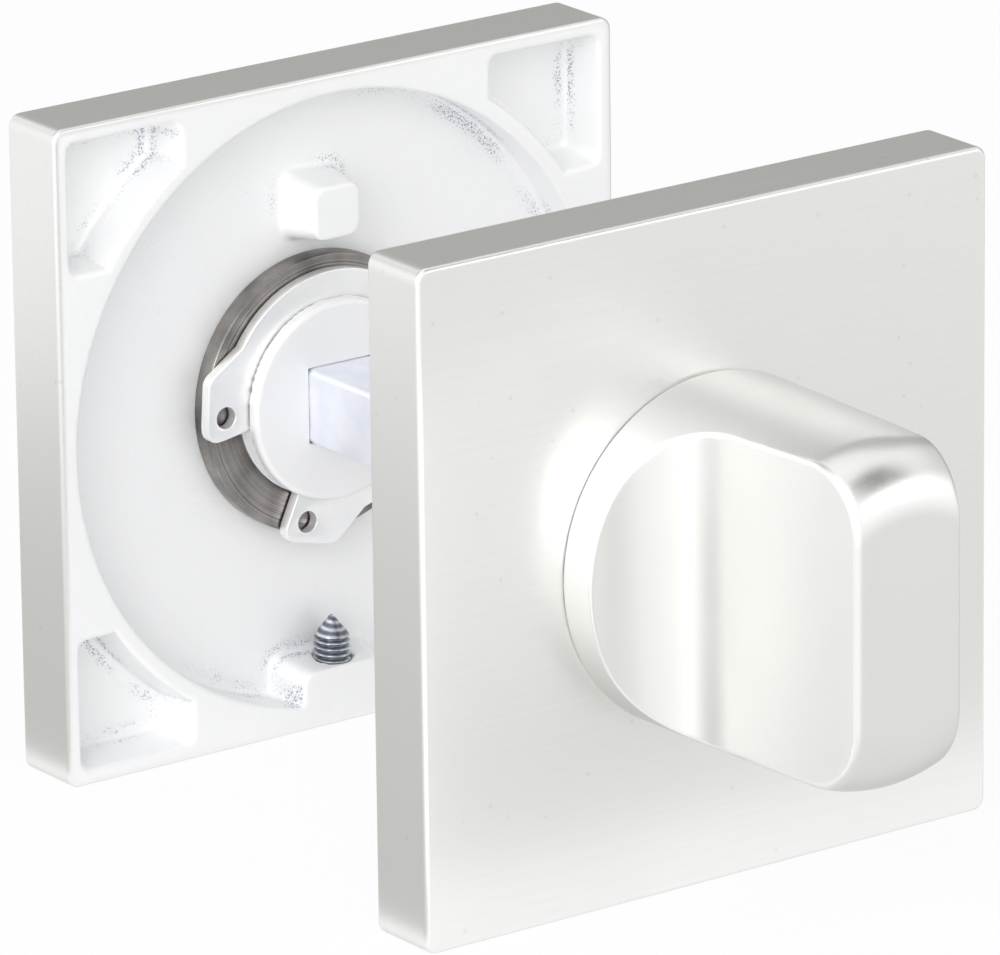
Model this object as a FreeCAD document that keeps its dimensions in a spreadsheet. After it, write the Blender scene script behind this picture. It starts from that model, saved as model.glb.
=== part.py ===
"""Bathroom thumb turn set on square roses, as mounted on a door.

The frame has +Z up and Y along the spindle. The door fills the space from Y = 0, where the back of the
thumb turn's rose lies, to Y = door_thickness, where the back of the release rose lies. The thumb turn
points to -Y. Each half is drawn for the thumb turn side, with its depth counted from the door face
towards the room, and the release half is that same half turned about Z onto the other door face.
"""

import FreeCAD, Part
import math
import os

import Sketcher
from FreeCAD import Placement, Rotation, Vector

# Driving dimensions in millimetres and degrees
SIZES = [
    ("door_thickness", 40.0, "distance between the backs of the two roses"),
    ("rose_width", 52.0, "side of the square rose"),
    ("rose_thickness", 6.2, "depth of the rose from the door face"),
    ("rose_corner_radius", 1.0, "rounding of the four corners of the square"),
    ("rose_edge_bevel", 0.35, "bevel round the visible face"),
    ("face_wall", 2.2, "wall between the visible face and the round recess in the back"),
    ("recess_wall", 1.6, "wall between the recess and the rose's sides"),
    ("pocket_wall", 1.2, "wall between a corner pocket and the rose's sides"),
    ("pocket_web", 1.35, "wall between a corner pocket and the recess"),
    ("pocket_start", 14.4, "distance of a pocket's ends from the centre lines"),
    ("pocket_face_wall", 2.4, "wall between the visible face and a corner pocket"),
    ("pocket_draft", 8.0, "draft of the pocket walls"),
    ("pocket_corner_radius", 0.9, "rounding of the pocket corners"),
    ("lug_height", 15.0, "distance of the locating lug above the axis"),
    ("lug_width", 5.2, "side of the lug at its foot"),
    ("lug_draft", 7.5, "draft of the lug"),
    ("lug_corner_radius", 1.0, "rounding of the lug's corners"),
    ("lug_relief", 0.15, "lug stops this far below the door face"),
    ("boss_width", 9.2, "width of the screw boss at its foot"),
    ("boss_length", 3.5, "distance that the boss's foot stands out from the recess wall"),
    ("boss_draft", 8.0, "draft of the screw boss"),
    ("boss_corner_radius", 1.2, "rounding of the boss's inner corners"),
    ("screw_diameter", 3.0, "tapped hole for the grub screw"),
    ("screw_depth", 2.0, "depth of the grub screw's axis below the door face"),
    ("screw_length", 8.0, "length of the grub screw with its point"),
    ("screw_end_relief", 0.15, "driven end stops this far above the rose's lower side"),
    ("screw_cone", 1.7, "length of the cone point"),
    ("screw_fit", 0.025, "radial clearance of the grub screw"),
    ("screw_bevel", 0.2, "bevel at the screw's driven end"),
    ("key_width", 1.5, "hexagon socket across flats"),
    ("key_depth", 2.0, "depth of the hexagon socket"),
    ("shank_diameter", 16.0, "round shank that turns in the bush"),
    ("shank_relief", 0.15, "shank stops this far below the door face"),
    ("shank_bevel", 0.5, "bevel round the shank's end"),
    ("bush_bore_fit", 0.05, "radial running clearance of the shank"),
    ("bush_sleeve_wall", 1.5, "wall of the bush's sleeve"),
    ("bush_sleeve_fit", 0.02, "radial clearance of the sleeve in the rose"),
    ("bush_flange_overhang", 1.55, "flange on the floor of the recess, beyond the sleeve"),
    ("bush_bevel", 0.15, "bevel round the flange"),
    ("bush_end_relief", 0.1, "sleeve stops this far below the visible face"),
    ("clip_depth", 1.25, "depth of the circlip below the door face"),
    ("clip_thickness", 1.0, "circlip's thickness"),
    ("clip_play", 0.1, "gap between the circlip and the flange"),
    ("clip_groove_depth", 0.4, "depth of the groove in the shank"),
    ("clip_groove_side_play", 0.05, "groove is wider than the circlip by this on each side"),
    ("clip_groove_fit", 0.03, "gap between the circlip and the groove's bottom"),
    ("clip_band", 2.5, "width of the circlip opposite its gap"),
    ("clip_offset", 0.15, "offset of its outer circle, away from the gap"),
    ("clip_gap_angle", 56.0, "angle of the gap between the ears"),
    ("clip_eye_angle", 76.0, "angle between the two eyes"),
    ("clip_eye_height", 2.35, "distance of the eyes from the circlip's inner edge"),
    ("clip_eye_diameter", 1.7, "eyes for the pliers"),
    ("clip_ear_height", 4.3, "height of the ears from the circlip's inner edge"),
    ("clip_ear_angle", 106.0, "angle between the far corners of the ears"),
    ("clip_ear_flare", 16.0, "angle by which the ears widen to their roots"),
    ("clip_ear_corner_radius", 1.2, "rounding of the ears' corners"),
    ("clip_direction", -37.0, "direction of the gap from +X"),
    ("turn_gap", 0.12, "gap between the rose and what turns in front of it"),
    ("turn_diameter", 27.0, "thumb turn's round base"),
    ("turn_height", 23.7, "height of the thumb turn above the rose"),
    ("turn_end_radius", 5.0, "rounding round the thumb turn's end"),
    ("scoop_floor", 3.45, "height of the rim below each finger scoop"),
    ("scoop_rim", 0.85, "level rim outside each hollow, at its widest"),
    ("blade_width", 9.5, "width of the blade at its end"),
    ("blade_draft", 3.8, "taper of each side of the blade"),
    ("blade_edge_bevel", 0.4, "bevel along the edge of each scoop"),
    ("head_draft", 0.7, "draft of the round wall of the thumb turn and of the button"),
    ("button_diameter", 24.0, "release button"),
    ("button_height", 3.4, "height of the release button above its rose"),
    ("button_edge_bevel", 0.6, "bevel round the button's face"),
    ("slot_length", 15.0, "coin slot's length"),
    ("slot_width", 2.2, "coin slot's width"),
    ("slot_depth", 1.6, "coin slot's depth"),
    ("spindle_width", 6.0, "side of the square spindle"),
    ("spindle_bevel", 0.6, "bevel along the spindle's edges"),
    ("spindle_end_bevel", 0.4, "bevel at the spindle's ends"),
    ("spindle_fit", 0.05, "clearance on each side of the spindle"),
    ("spindle_end_play", 0.3, "gap at each end of the spindle"),
    ("turn_socket_reach", 7.8, "square socket in the thumb turn, beyond the visible face"),
    ("button_web", 1.0, "wall between the coin slot and the square socket behind it"),
]

# Expressions that several pieces share
RECESS_RADIUS = "(sizes.rose_width / 2 - sizes.recess_wall)"
RECESS_DEPTH = "(sizes.rose_thickness - sizes.face_wall)"
SHANK_RADIUS = "sizes.shank_diameter / 2"
BUSH_BORE = "(" + SHANK_RADIUS + " + sizes.bush_bore_fit)"
BUSH_RADIUS = "(" + BUSH_BORE + " + sizes.bush_sleeve_wall)"
CLIP_FLOOR = "(sizes.clip_depth + sizes.clip_thickness)"
FLANGE_TOP = "(" + CLIP_FLOOR + " + sizes.clip_play)"
GROOVE_RADIUS = "(" + SHANK_RADIUS + " - sizes.clip_groove_depth)"
CLIP_BORE = "(" + GROOVE_RADIUS + " + sizes.clip_groove_fit)"
SCREW_END = "(sizes.rose_width / 2 - sizes.screw_end_relief)"
SCREW_TIP = "(" + SCREW_END + " - sizes.screw_length)"
TURN_FOOT = "(sizes.rose_thickness + sizes.turn_gap)"
TURN_END = "(sizes.rose_thickness + sizes.turn_height)"
BUTTON_END = "(sizes.rose_thickness + sizes.button_height)"
SOCKET_WIDTH = "(sizes.spindle_width + 2 * sizes.spindle_fit)"
TURN_SOCKET_DEPTH = "(sizes.rose_thickness + sizes.turn_socket_reach)"
BUTTON_SOCKET_DEPTH = "(" + BUTTON_END + " - sizes.slot_depth - sizes.button_web)"
SIDES = ("-", "+")
AXIS = Vector(0, 1, 0)
OVERSHOOT = 2.0
TOLERANCE = 1e-4

doc = FreeCAD.newDocument("thumb_turn_lock")


def make_sheet():
    """Write the driving dimensions to a spreadsheet with one alias per cell."""
    sheet = doc.addObject("Spreadsheet::Sheet", "sizes")
    for row, (alias, value, meaning) in enumerate(SIZES, start=1):
        cell = "B%d" % row
        sheet.set("A%d" % row, meaning)
        sheet.set(cell, str(value))
        sheet.setAlias(cell, alias)
    doc.recompute()
    return sheet


def number(expression):
    """Work out an expression of the sheet's sizes as a plain number."""
    return float(sheet.evalExpression(expression))


def new_body(label):
    """Start a solid whose label is the name of the piece."""
    body = doc.addObject("PartDesign::Body", label)
    body.Label = label
    return body


def origin_plane(body, role):
    """Find one of the body's own reference planes."""
    return next(plane for plane in body.Origin.OriginFeatures if plane.Role == role)


def new_sketch(body, name, role, offset=None):
    """Attach a sketch to a reference plane, moved along its normal if an offset is given."""
    sketch = body.newObject("Sketcher::SketchObject", name)
    sketch.AttachmentSupport = [(origin_plane(body, role), "")]
    sketch.MapMode = "FlatFace"
    if offset:
        sketch.setExpression("AttachmentOffset.Base.z", offset)
        doc.recompute()
    return sketch


def bind(sketch, kind, elements, expression):
    """Add a dimension to a sketch and tie it to an expression."""
    index = sketch.addConstraint(Sketcher.Constraint(kind, *elements, number(expression)))
    sketch.setExpression("Constraints[%d]" % index, expression)


def place_point(sketch, curve, end, across, along):
    """Tie a curve's end point to the two expressions of its place."""
    for kind, axis, expression in (("DistanceX", -2, across), ("DistanceY", -1, along)):
        if expression == "0":
            sketch.addConstraint(Sketcher.Constraint("PointOnObject", curve, end, axis))
        else:
            bind(sketch, kind, (-1, 1, curve, end), expression)


def draw_polygon(sketch, corners):
    """Draw a closed outline of straight lines through corners given as expressions."""
    points = [Vector(number(across), number(along), 0) for across, along in corners]
    following = points[1:] + points[:1]
    lines = [sketch.addGeometry(Part.LineSegment(a, b)) for a, b in zip(points, following)]
    for line, after in zip(lines, lines[1:] + lines[:1]):
        sketch.addConstraint(Sketcher.Constraint("Coincident", line, 2, after, 1))
    for line, (across, along) in zip(lines, corners):
        place_point(sketch, line, 1, across, along)


def draw_rectangle(sketch, left, right, bottom, top):
    """Draw a rectangle between four expressions."""
    draw_polygon(sketch, [(left, bottom), (right, bottom), (right, top), (left, top)])


def draw_square(sketch, width):
    """Draw a square centred on the axis."""
    half = width + " / 2"
    draw_rectangle(sketch, "-" + half, half, "-" + half, half)


def draw_circle(sketch, radius, across="0", along="0"):
    """Draw a circle whose centre and radius are expressions."""
    centre = Vector(number(across), number(along), 0)
    circle = sketch.addGeometry(Part.Circle(centre, Vector(0, 0, 1), number(radius)))
    place_point(sketch, circle, 3, across, along)
    bind(sketch, "Radius", (circle,), radius)


def extrude(body, kind, name, sketch, length=None, reverse=False, both_ways=False):
    """Pad or pocket a sketch by a length, or through the whole solid if none is given."""
    feature = body.newObject("PartDesign::" + kind, name)
    feature.Profile = sketch
    feature.Reversed = reverse
    if both_ways:
        feature.SideType = "Symmetric"
    if length:
        feature.setExpression("Length", length)
    else:
        feature.Type = "ThroughAll"
    body.Tip = feature
    doc.recompute()
    return feature


def revolve(body, name, sketch):
    """Turn a profile round the sketch's vertical axis."""
    feature = body.newObject("PartDesign::Revolution", name)
    feature.Profile = sketch
    feature.ReferenceAxis = (sketch, ["V_Axis"])
    feature.Angle = 360.0
    body.Tip = feature
    doc.recompute()
    return feature


def dress_edges(body, kind, name, base, size, wanted):
    """Fillet or chamfer those edges of a feature that a test picks."""
    edges = ["Edge%d" % (i + 1) for i, edge in enumerate(base.Shape.Edges) if wanted(edge)]
    feature = body.newObject("PartDesign::" + kind, name)
    feature.Base = (base, edges)
    feature.setExpression("Radius" if kind == "Fillet" else "Size", size)
    body.Tip = feature
    doc.recompute()
    return feature


def middle(edge):
    """Give the point halfway along an edge."""
    return edge.valueAt((edge.FirstParameter + edge.LastParameter) / 2)


def runs_along(edge, direction):
    """Tell whether an edge is a straight line within a few degrees of a direction."""
    start = edge.Vertexes[0].Point
    finish = edge.Vertexes[-1].Point
    span = finish - start
    straight = abs(span.Length - edge.Length) < TOLERANCE
    return straight and span.Length > TOLERANCE and abs(span.normalize().dot(direction)) > 0.9


def lies_at_depth(edge, depth):
    """Tell whether a whole edge lies at a depth below the door face."""
    ends = [vertex.Point for vertex in edge.Vertexes] + [middle(edge)]
    return all(abs(point.y + depth) < TOLERANCE for point in ends)


def is_ring(edge, radius, depth):
    """Tell whether an edge is a full circle of a radius at a depth below the door face."""
    round_edge = isinstance(edge.Curve, Part.Circle) and abs(edge.Curve.Radius - radius) < TOLERANCE
    return round_edge and lies_at_depth(edge, depth)


def round_corners(body, name, base, radius, region):
    """Fillet those edges along the axis whose middle lies in a region."""
    return dress_edges(
        body, "Fillet", name, base, radius,
        lambda edge: runs_along(edge, AXIS) and region(middle(edge)),
    )


def stands_upright(face):
    """Tell whether a face runs along the axis."""
    low_u, high_u, low_v, high_v = face.ParameterRange
    return abs(face.normalAt((low_u + high_u) / 2, (low_v + high_v) / 2).y) < TOLERANCE


def draft_walls(body, name, base, angle, depth, region):
    """Lean the upright walls that lie in a region, about their outline at a depth below the door face."""
    faces = list(enumerate(base.Shape.Faces, start=1))
    walls = [i for i, face in faces if stands_upright(face) and region(face.CenterOfMass)]
    level = [
        (face.Area, i) for i, face in faces
        if all(abs(vertex.Point.y + number(depth)) < TOLERANCE for vertex in face.Vertexes)
    ]
    feature = body.newObject("PartDesign::Draft", name)
    feature.Base = (base, ["Face%d" % i for i in walls])
    feature.NeutralPlane = (base, ["Face%d" % max(level)[1]])
    feature.setExpression("Angle", angle)
    body.Tip = feature
    # The first pass settles the references to the faces, and the second leans them
    doc.recompute()
    doc.recompute()
    return feature


def rose_plate(body):
    """Make the square plate with rounded corners and a softened visible face."""
    sketch = new_sketch(body, "plate_outline", "XZ_Plane")
    draw_square(sketch, "sizes.rose_width")
    plate = extrude(body, "Pad", "plate", sketch, "sizes.rose_thickness")
    corners = round_corners(
        body, "plate_corners", plate, "sizes.rose_corner_radius", lambda place: True
    )
    face_depth = number("sizes.rose_thickness")
    dress_edges(
        body, "Chamfer", "plate_edge", corners, "sizes.rose_edge_bevel",
        lambda edge: lies_at_depth(edge, face_depth),
    )


def draw_pocket_outline(sketch):
    """Draw a corner pocket: two long sides, two short ends and an arc beside the recess."""
    outer = "(sizes.rose_width / 2 - sizes.pocket_wall)"
    start = "sizes.pocket_start"
    arc_radius = "(" + RECESS_RADIUS + " + sizes.pocket_web)"
    arc_reach = "sqrt(" + arc_radius + "^2 - " + start + "^2)"
    corners = [(start, arc_reach), (start, outer), (outer, outer), (outer, start), (arc_reach, start)]
    points = [Vector(number(across), number(along), 0) for across, along in corners]
    lines = [sketch.addGeometry(Part.LineSegment(a, b)) for a, b in zip(points, points[1:])]
    circle = Part.Circle(Vector(0, 0, 0), Vector(0, 0, 1), number(arc_radius))
    low_angle = math.atan2(points[-1].y, points[-1].x)
    arc = sketch.addGeometry(Part.ArcOfCircle(circle, low_angle, math.pi / 2 - low_angle))
    for line, after in zip(lines, lines[1:]):
        sketch.addConstraint(Sketcher.Constraint("Coincident", line, 2, after, 1))
    sketch.addConstraint(Sketcher.Constraint("Coincident", lines[-1], 2, arc, 1))
    sketch.addConstraint(Sketcher.Constraint("Coincident", arc, 2, lines[0], 1))
    sketch.addConstraint(Sketcher.Constraint("Coincident", arc, 3, -1, 1))
    for kind, line in zip(("Vertical", "Horizontal", "Vertical", "Horizontal"), lines):
        sketch.addConstraint(Sketcher.Constraint(kind, line))
    bind(sketch, "Radius", (arc,), arc_radius)
    place_point(sketch, lines[1], 1, start, outer)
    place_point(sketch, lines[3], 1, outer, start)


def rose_recesses(body):
    """Cut the round recess and the four corner pockets into the back of the rose."""
    recess_sketch = new_sketch(body, "recess_outline", "XZ_Plane")
    draw_circle(recess_sketch, RECESS_RADIUS)
    extrude(body, "Pocket", "recess", recess_sketch, RECESS_DEPTH, reverse=True)
    pocket_sketch = new_sketch(body, "pocket_outline", "XZ_Plane")
    draw_pocket_outline(pocket_sketch)
    depth = "sizes.rose_thickness - sizes.pocket_face_wall"
    pocket = extrude(body, "Pocket", "corner_pocket", pocket_sketch, depth, reverse=True)
    pattern = body.newObject("PartDesign::PolarPattern", "corner_pockets")
    pattern.Originals = [pocket]
    pattern.Axis = (pocket_sketch, ["N_Axis"])
    pattern.Angle = 360.0
    pattern.Occurrences = 4
    body.Tip = pattern
    doc.recompute()
    inner = number("sizes.pocket_start") - TOLERANCE
    outer = number("sizes.rose_width / 2 - sizes.pocket_wall") + TOLERANCE
    past_arc = number(RECESS_RADIUS + " + 2 * sizes.pocket_web")

    def in_a_pocket(place):
        near, far = sorted((abs(place.x), abs(place.z)))
        return near > inner and far < outer

    def away_from_arc(place):
        return in_a_pocket(place) and math.hypot(place.x, place.z) > past_arc

    drafted = draft_walls(body, "pocket_drafts", pattern, "sizes.pocket_draft", "0", in_a_pocket)
    round_corners(body, "pocket_corners", drafted, "sizes.pocket_corner_radius", away_from_arc)


def rose_lug(body):
    """Raise the drafted lug that keeps the rose upright on its fixing plate."""
    sketch = new_sketch(body, "lug_outline", "XZ_Plane", RECESS_DEPTH)
    half = "sizes.lug_width / 2"
    centre = "sizes.lug_height"
    draw_rectangle(sketch, "-" + half, half, centre + " - " + half, centre + " + " + half)
    lug = extrude(body, "Pad", "lug", sketch, RECESS_DEPTH + " - sizes.lug_relief", reverse=True)
    middle_height = number(centre)
    reach = number(half) + TOLERANCE

    def on_the_lug(place):
        return abs(place.x) < reach and abs(place.z - middle_height) < reach

    drafted = draft_walls(body, "lug_drafts", lug, "sizes.lug_draft", RECESS_DEPTH, on_the_lug)
    round_corners(body, "lug_corners", drafted, "sizes.lug_corner_radius", on_the_lug)


def rose_screw_boss(body):
    """Raise the boss inside the lower wall and drill it for the grub screw."""
    sketch = new_sketch(body, "boss_outline", "XZ_Plane", RECESS_DEPTH)
    half = "sizes.boss_width / 2"
    inside_wall = "-(sizes.rose_width / 2 - sizes.recess_wall / 2)"
    foot = "-(" + RECESS_RADIUS + " - sizes.boss_length)"
    draw_rectangle(sketch, "-" + half, half, inside_wall, foot)
    boss = extrude(body, "Pad", "boss", sketch, RECESS_DEPTH, reverse=True)
    side = number(half) + TOLERANCE
    lowest = number(foot + " - sizes.boss_length")
    highest = number(foot) + TOLERANCE

    def on_the_boss(place):
        return abs(place.x) < side and lowest < place.z < highest

    def at_its_foot(place):
        return on_the_boss(place) and highest - place.z < number("sizes.boss_length / 2")

    drafted = draft_walls(body, "boss_drafts", boss, "sizes.boss_draft", RECESS_DEPTH, on_the_boss)
    round_corners(body, "boss_corners", drafted, "sizes.boss_corner_radius", at_its_foot)
    hole = new_sketch(body, "screw_hole_outline", "XY_Plane")
    draw_circle(hole, "sizes.screw_diameter / 2", along="-sizes.screw_depth")
    extrude(body, "Pocket", "screw_hole", hole, "sizes.rose_width")


def make_rose(label):
    """Make one rose: a square casting with a hollow back, locating lug and screw boss."""
    body = new_body(label)
    rose_plate(body)
    rose_recesses(body)
    rose_lug(body)
    rose_screw_boss(body)
    bore = new_sketch(body, "bush_hole_outline", "XZ_Plane")
    draw_circle(bore, BUSH_RADIUS + " + sizes.bush_sleeve_fit")
    extrude(body, "Pocket", "bush_hole", bore, reverse=True)
    return body


def make_bush(label):
    """Make the flanged bush whose flange lies on the floor of the recess."""
    body = new_body(label)
    sketch = new_sketch(body, "bush_profile", "XY_Plane")
    flange = BUSH_RADIUS + " + sizes.bush_flange_overhang"
    floor = "-" + RECESS_DEPTH
    end = "-(sizes.rose_thickness - sizes.bush_end_relief)"
    draw_polygon(sketch, [
        (BUSH_BORE, "-" + FLANGE_TOP), (flange, "-" + FLANGE_TOP), (flange, floor),
        (BUSH_RADIUS, floor), (BUSH_RADIUS, end), (BUSH_BORE, end),
    ])
    turned = revolve(body, "bush", sketch)
    radius = number(flange)
    depth = number(FLANGE_TOP)
    dress_edges(
        body, "Chamfer", "bush_edge", turned, "sizes.bush_bevel",
        lambda edge: is_ring(edge, radius, depth),
    )
    return body


def at_clip_angle(radius, spread=None, side=""):
    """Give a place at a radius in the direction of the circlip's gap, or half a spread beside it."""
    angle = "sizes.clip_direction"
    if spread:
        angle = "(%s %s %s / 2)" % (angle, side, spread)
    return "%s * cos(%s * 1deg)" % (radius, angle), "%s * sin(%s * 1deg)" % (radius, angle)


def draw_clip_ear(sketch, side):
    """Draw the outline of an ear on one side of the gap, widening to its root in the band."""
    root = CLIP_BORE + " + sizes.clip_band / 2"
    top = "(" + CLIP_BORE + " + sizes.clip_ear_height)"
    near = "sizes.clip_gap_angle / 2"
    far = "sizes.clip_ear_angle"
    foot = "(sizes.clip_ear_angle + 2 * sizes.clip_ear_flare)"
    draw_polygon(sketch, [
        at_clip_angle("(" + root + ")", near, side), at_clip_angle(top, near, side),
        at_clip_angle(top, far, side), at_clip_angle("(" + root + ")", foot, side),
    ])


def make_circlip(label):
    """Make the circlip: an eccentric open ring with two eared ends and an eye in each."""
    body = new_body(label)
    band_sketch = new_sketch(body, "band_outline", "XZ_Plane", "sizes.clip_depth")
    outer = CLIP_BORE + " + sizes.clip_band - sizes.clip_offset"
    draw_circle(band_sketch, outer, *at_clip_angle("-sizes.clip_offset"))
    extrude(body, "Pad", "band", band_sketch, "sizes.clip_thickness")
    for name, side in zip(("first", "second"), SIDES):
        ear_sketch = new_sketch(body, name + "_ear_outline", "XZ_Plane", "sizes.clip_depth")
        draw_clip_ear(ear_sketch, side)
        extrude(body, "Pad", name + "_ear", ear_sketch, "sizes.clip_thickness")
    bore_sketch = new_sketch(body, "clip_bore_outline", "XZ_Plane")
    draw_circle(bore_sketch, CLIP_BORE)
    extrude(body, "Pocket", "clip_bore", bore_sketch, reverse=True)
    gap_sketch = new_sketch(body, "gap_outline", "XZ_Plane")
    gap_reach = "2 * (" + CLIP_BORE + " + sizes.clip_ear_height)"
    rays = [at_clip_angle(gap_reach, "sizes.clip_gap_angle", side) for side in SIDES]
    draw_polygon(gap_sketch, [("0", "0")] + rays)
    gap = extrude(body, "Pocket", "gap", gap_sketch, reverse=True)
    beyond_eyes = number(CLIP_BORE + " + sizes.clip_eye_height + sizes.clip_eye_diameter / 2")
    round_corners(
        body, "ear_corners", gap, "sizes.clip_ear_corner_radius",
        lambda place: math.hypot(place.x, place.z) > beyond_eyes,
    )
    eyes_sketch = new_sketch(body, "eyes_outline", "XZ_Plane")
    eye_radius = "(" + CLIP_BORE + " + sizes.clip_eye_height)"
    for side in SIDES:
        eye = at_clip_angle(eye_radius, "sizes.clip_eye_angle", side)
        draw_circle(eyes_sketch, "sizes.clip_eye_diameter / 2", *eye)
    extrude(body, "Pocket", "eyes", eyes_sketch, reverse=True)
    return body


def make_grub_screw(label):
    """Make the cone point grub screw, with its point towards the axis."""
    body = new_body(label)
    sketch = new_sketch(body, "screw_profile", "XZ_Plane", "sizes.screw_depth")
    radius = "(sizes.screw_diameter / 2 - sizes.screw_fit)"
    end = "-" + SCREW_END
    draw_polygon(sketch, [
        ("0", "-" + SCREW_TIP), (radius, "-(" + SCREW_TIP + " + sizes.screw_cone)"),
        (radius, end + " + sizes.screw_bevel"), (radius + " - sizes.screw_bevel", end), ("0", end),
    ])
    revolve(body, "screw", sketch)
    socket = new_sketch(body, "key_outline", "XY_Plane", end)
    centre = "-sizes.screw_depth"
    upper = centre + " + sizes.key_width / 2"
    lower = centre + " - sizes.key_width / 2"
    corner = "sizes.key_width / sqrt(3)"
    shoulder = "sizes.key_width / sqrt(3) / 2"
    draw_polygon(socket, [
        (corner, centre), (shoulder, upper), ("-" + shoulder, upper),
        ("-" + corner, centre), ("-" + shoulder, lower), (shoulder, lower),
    ])
    extrude(body, "Pocket", "key_socket", socket, "sizes.key_depth", reverse=True)
    return body


def shank_profile():
    """List the corners of the shank's half section, from its end to the foot of what it carries."""
    end = "-sizes.shank_relief"
    bevel_end = "-(sizes.shank_relief + sizes.shank_bevel)"
    groove_top = "-(sizes.clip_depth - sizes.clip_groove_side_play)"
    groove_floor = "-(" + CLIP_FLOOR + " + sizes.clip_groove_side_play)"
    return [
        ("0", end), (SHANK_RADIUS + " - sizes.shank_bevel", end), (SHANK_RADIUS, bevel_end),
        (SHANK_RADIUS, groove_top), (GROOVE_RADIUS, groove_top),
        (GROOVE_RADIUS, groove_floor), (SHANK_RADIUS, groove_floor),
        (SHANK_RADIUS, "-" + TURN_FOOT),
    ]


def turned_blank(body, name, diameter, end, edge_kind, edge_size):
    """Turn a shank with a drafted round head, dressed round its end."""
    sketch = new_sketch(body, name + "_profile", "XY_Plane")
    head = diameter + " / 2"
    head_end = head + " - (" + end + " - " + TURN_FOOT + ") * tan(sizes.head_draft * 1deg)"
    draw_polygon(sketch, shank_profile() + [
        (head, "-" + TURN_FOOT), (head_end, "-" + end), ("0", "-" + end),
    ])
    blank = revolve(body, name, sketch)
    radius = number(head_end)
    depth = number(end)
    dress_edges(
        body, edge_kind, name + "_end", blank, edge_size, lambda edge: is_ring(edge, radius, depth)
    )


def cut_spindle_socket(body, depth):
    """Cut the square socket for the spindle, from the door face."""
    sketch = new_sketch(body, "socket_outline", "XZ_Plane")
    draw_square(sketch, SOCKET_WIDTH)
    extrude(body, "Pocket", "socket", sketch, depth, reverse=True)


def draw_scoop(sketch):
    """Draw the section of a finger scoop: a level rim, a hollow foot and a drafted blade side."""
    floor = "-(sizes.rose_thickness + sizes.scoop_floor)"
    top = "-(" + TURN_END + " + %s)" % OVERSHOOT
    draft = "(sizes.blade_draft * 1deg)"
    side_top = "sizes.blade_width / 2 - %s * tan%s" % (OVERSHOOT, draft)
    side_foot = "sizes.blade_width / 2 + (sizes.turn_height - sizes.scoop_floor) * tan" + draft
    centre_across = "sizes.turn_diameter / 2 - sizes.scoop_rim"
    hollow_radius = "(%s - %s) * cos%s / (1 - sin%s)" % (centre_across, side_foot, draft, draft)
    centre_along = floor + " - " + hollow_radius
    far = centre_across + " + sizes.turn_diameter / 2"
    centre = Vector(number(centre_across), number(centre_along), 0)
    radius = number(hollow_radius)
    lean = math.pi - math.radians(number("sizes.blade_draft"))
    on_floor = centre + Vector(0, radius, 0)
    on_side = centre + Vector(math.cos(lean), math.sin(lean), 0) * radius
    side_end = Vector(number(side_top), number(top), 0)
    outer_top = Vector(number(far), number(top), 0)
    outer_floor = Vector(number(far), number(floor), 0)
    circle = Part.Circle(centre, Vector(0, 0, 1), radius)
    rim = sketch.addGeometry(Part.LineSegment(outer_floor, on_floor))
    hollow = sketch.addGeometry(Part.ArcOfCircle(circle, math.pi / 2, lean))
    side = sketch.addGeometry(Part.LineSegment(on_side, side_end))
    over = sketch.addGeometry(Part.LineSegment(side_end, outer_top))
    back = sketch.addGeometry(Part.LineSegment(outer_top, outer_floor))
    sketch.addConstraint(Sketcher.Constraint("Tangent", rim, 2, hollow, 1))
    sketch.addConstraint(Sketcher.Constraint("Tangent", hollow, 2, side, 1))
    for line, after in ((side, over), (over, back), (back, rim)):
        sketch.addConstraint(Sketcher.Constraint("Coincident", line, 2, after, 1))
    bind(sketch, "Radius", (hollow,), hollow_radius)
    place_point(sketch, hollow, 3, centre_across, centre_along)
    place_point(sketch, rim, 1, far, floor)
    place_point(sketch, over, 1, side_top, top)
    place_point(sketch, back, 1, far, top)


def make_thumb_turn(label):
    """Make the thumb turn: a turned blank with two finger scoops that leave a blade."""
    body = new_body(label)
    turned_blank(body, "turn", "sizes.turn_diameter", TURN_END, "Fillet", "sizes.turn_end_radius")
    sketch = new_sketch(body, "scoop_section", "XY_Plane")
    draw_scoop(sketch)
    scoop = extrude(body, "Pocket", "scoop", sketch, both_ways=True)
    scoops = body.newObject("PartDesign::Mirrored", "scoops")
    scoops.Originals = [scoop]
    scoops.MirrorPlane = (origin_plane(body, "YZ_Plane"), [""])
    body.Tip = scoops
    doc.recompute()
    floor = number("sizes.rose_thickness + sizes.scoop_floor")
    end = number(TURN_END)
    upright = Vector(0, 0, 1)

    def is_scoop_edge(edge):
        depth = -middle(edge).y
        if depth < floor - TOLERANCE:
            return False
        if lies_at_depth(edge, floor):
            return not runs_along(edge, upright)
        if lies_at_depth(edge, end):
            return runs_along(edge, upright)
        return not lies_at_depth(edge, depth)

    dress_edges(body, "Chamfer", "blade_edges", scoops, "sizes.blade_edge_bevel", is_scoop_edge)
    cut_spindle_socket(body, TURN_SOCKET_DEPTH)
    return body


def make_release_button(label):
    """Make the release button: a low round head with a coin slot, on the same shank."""
    body = new_body(label)
    turned_blank(body, "button", "sizes.button_diameter", BUTTON_END, "Chamfer", "sizes.button_edge_bevel")
    sketch = new_sketch(body, "slot_outline", "XZ_Plane", BUTTON_END)
    across = "sizes.slot_width / 2"
    along = "sizes.slot_length / 2"
    draw_rectangle(sketch, "-" + across, across, "-" + along, along)
    extrude(body, "Pocket", "slot", sketch, "sizes.slot_depth")
    cut_spindle_socket(body, BUTTON_SOCKET_DEPTH)
    return body


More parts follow.
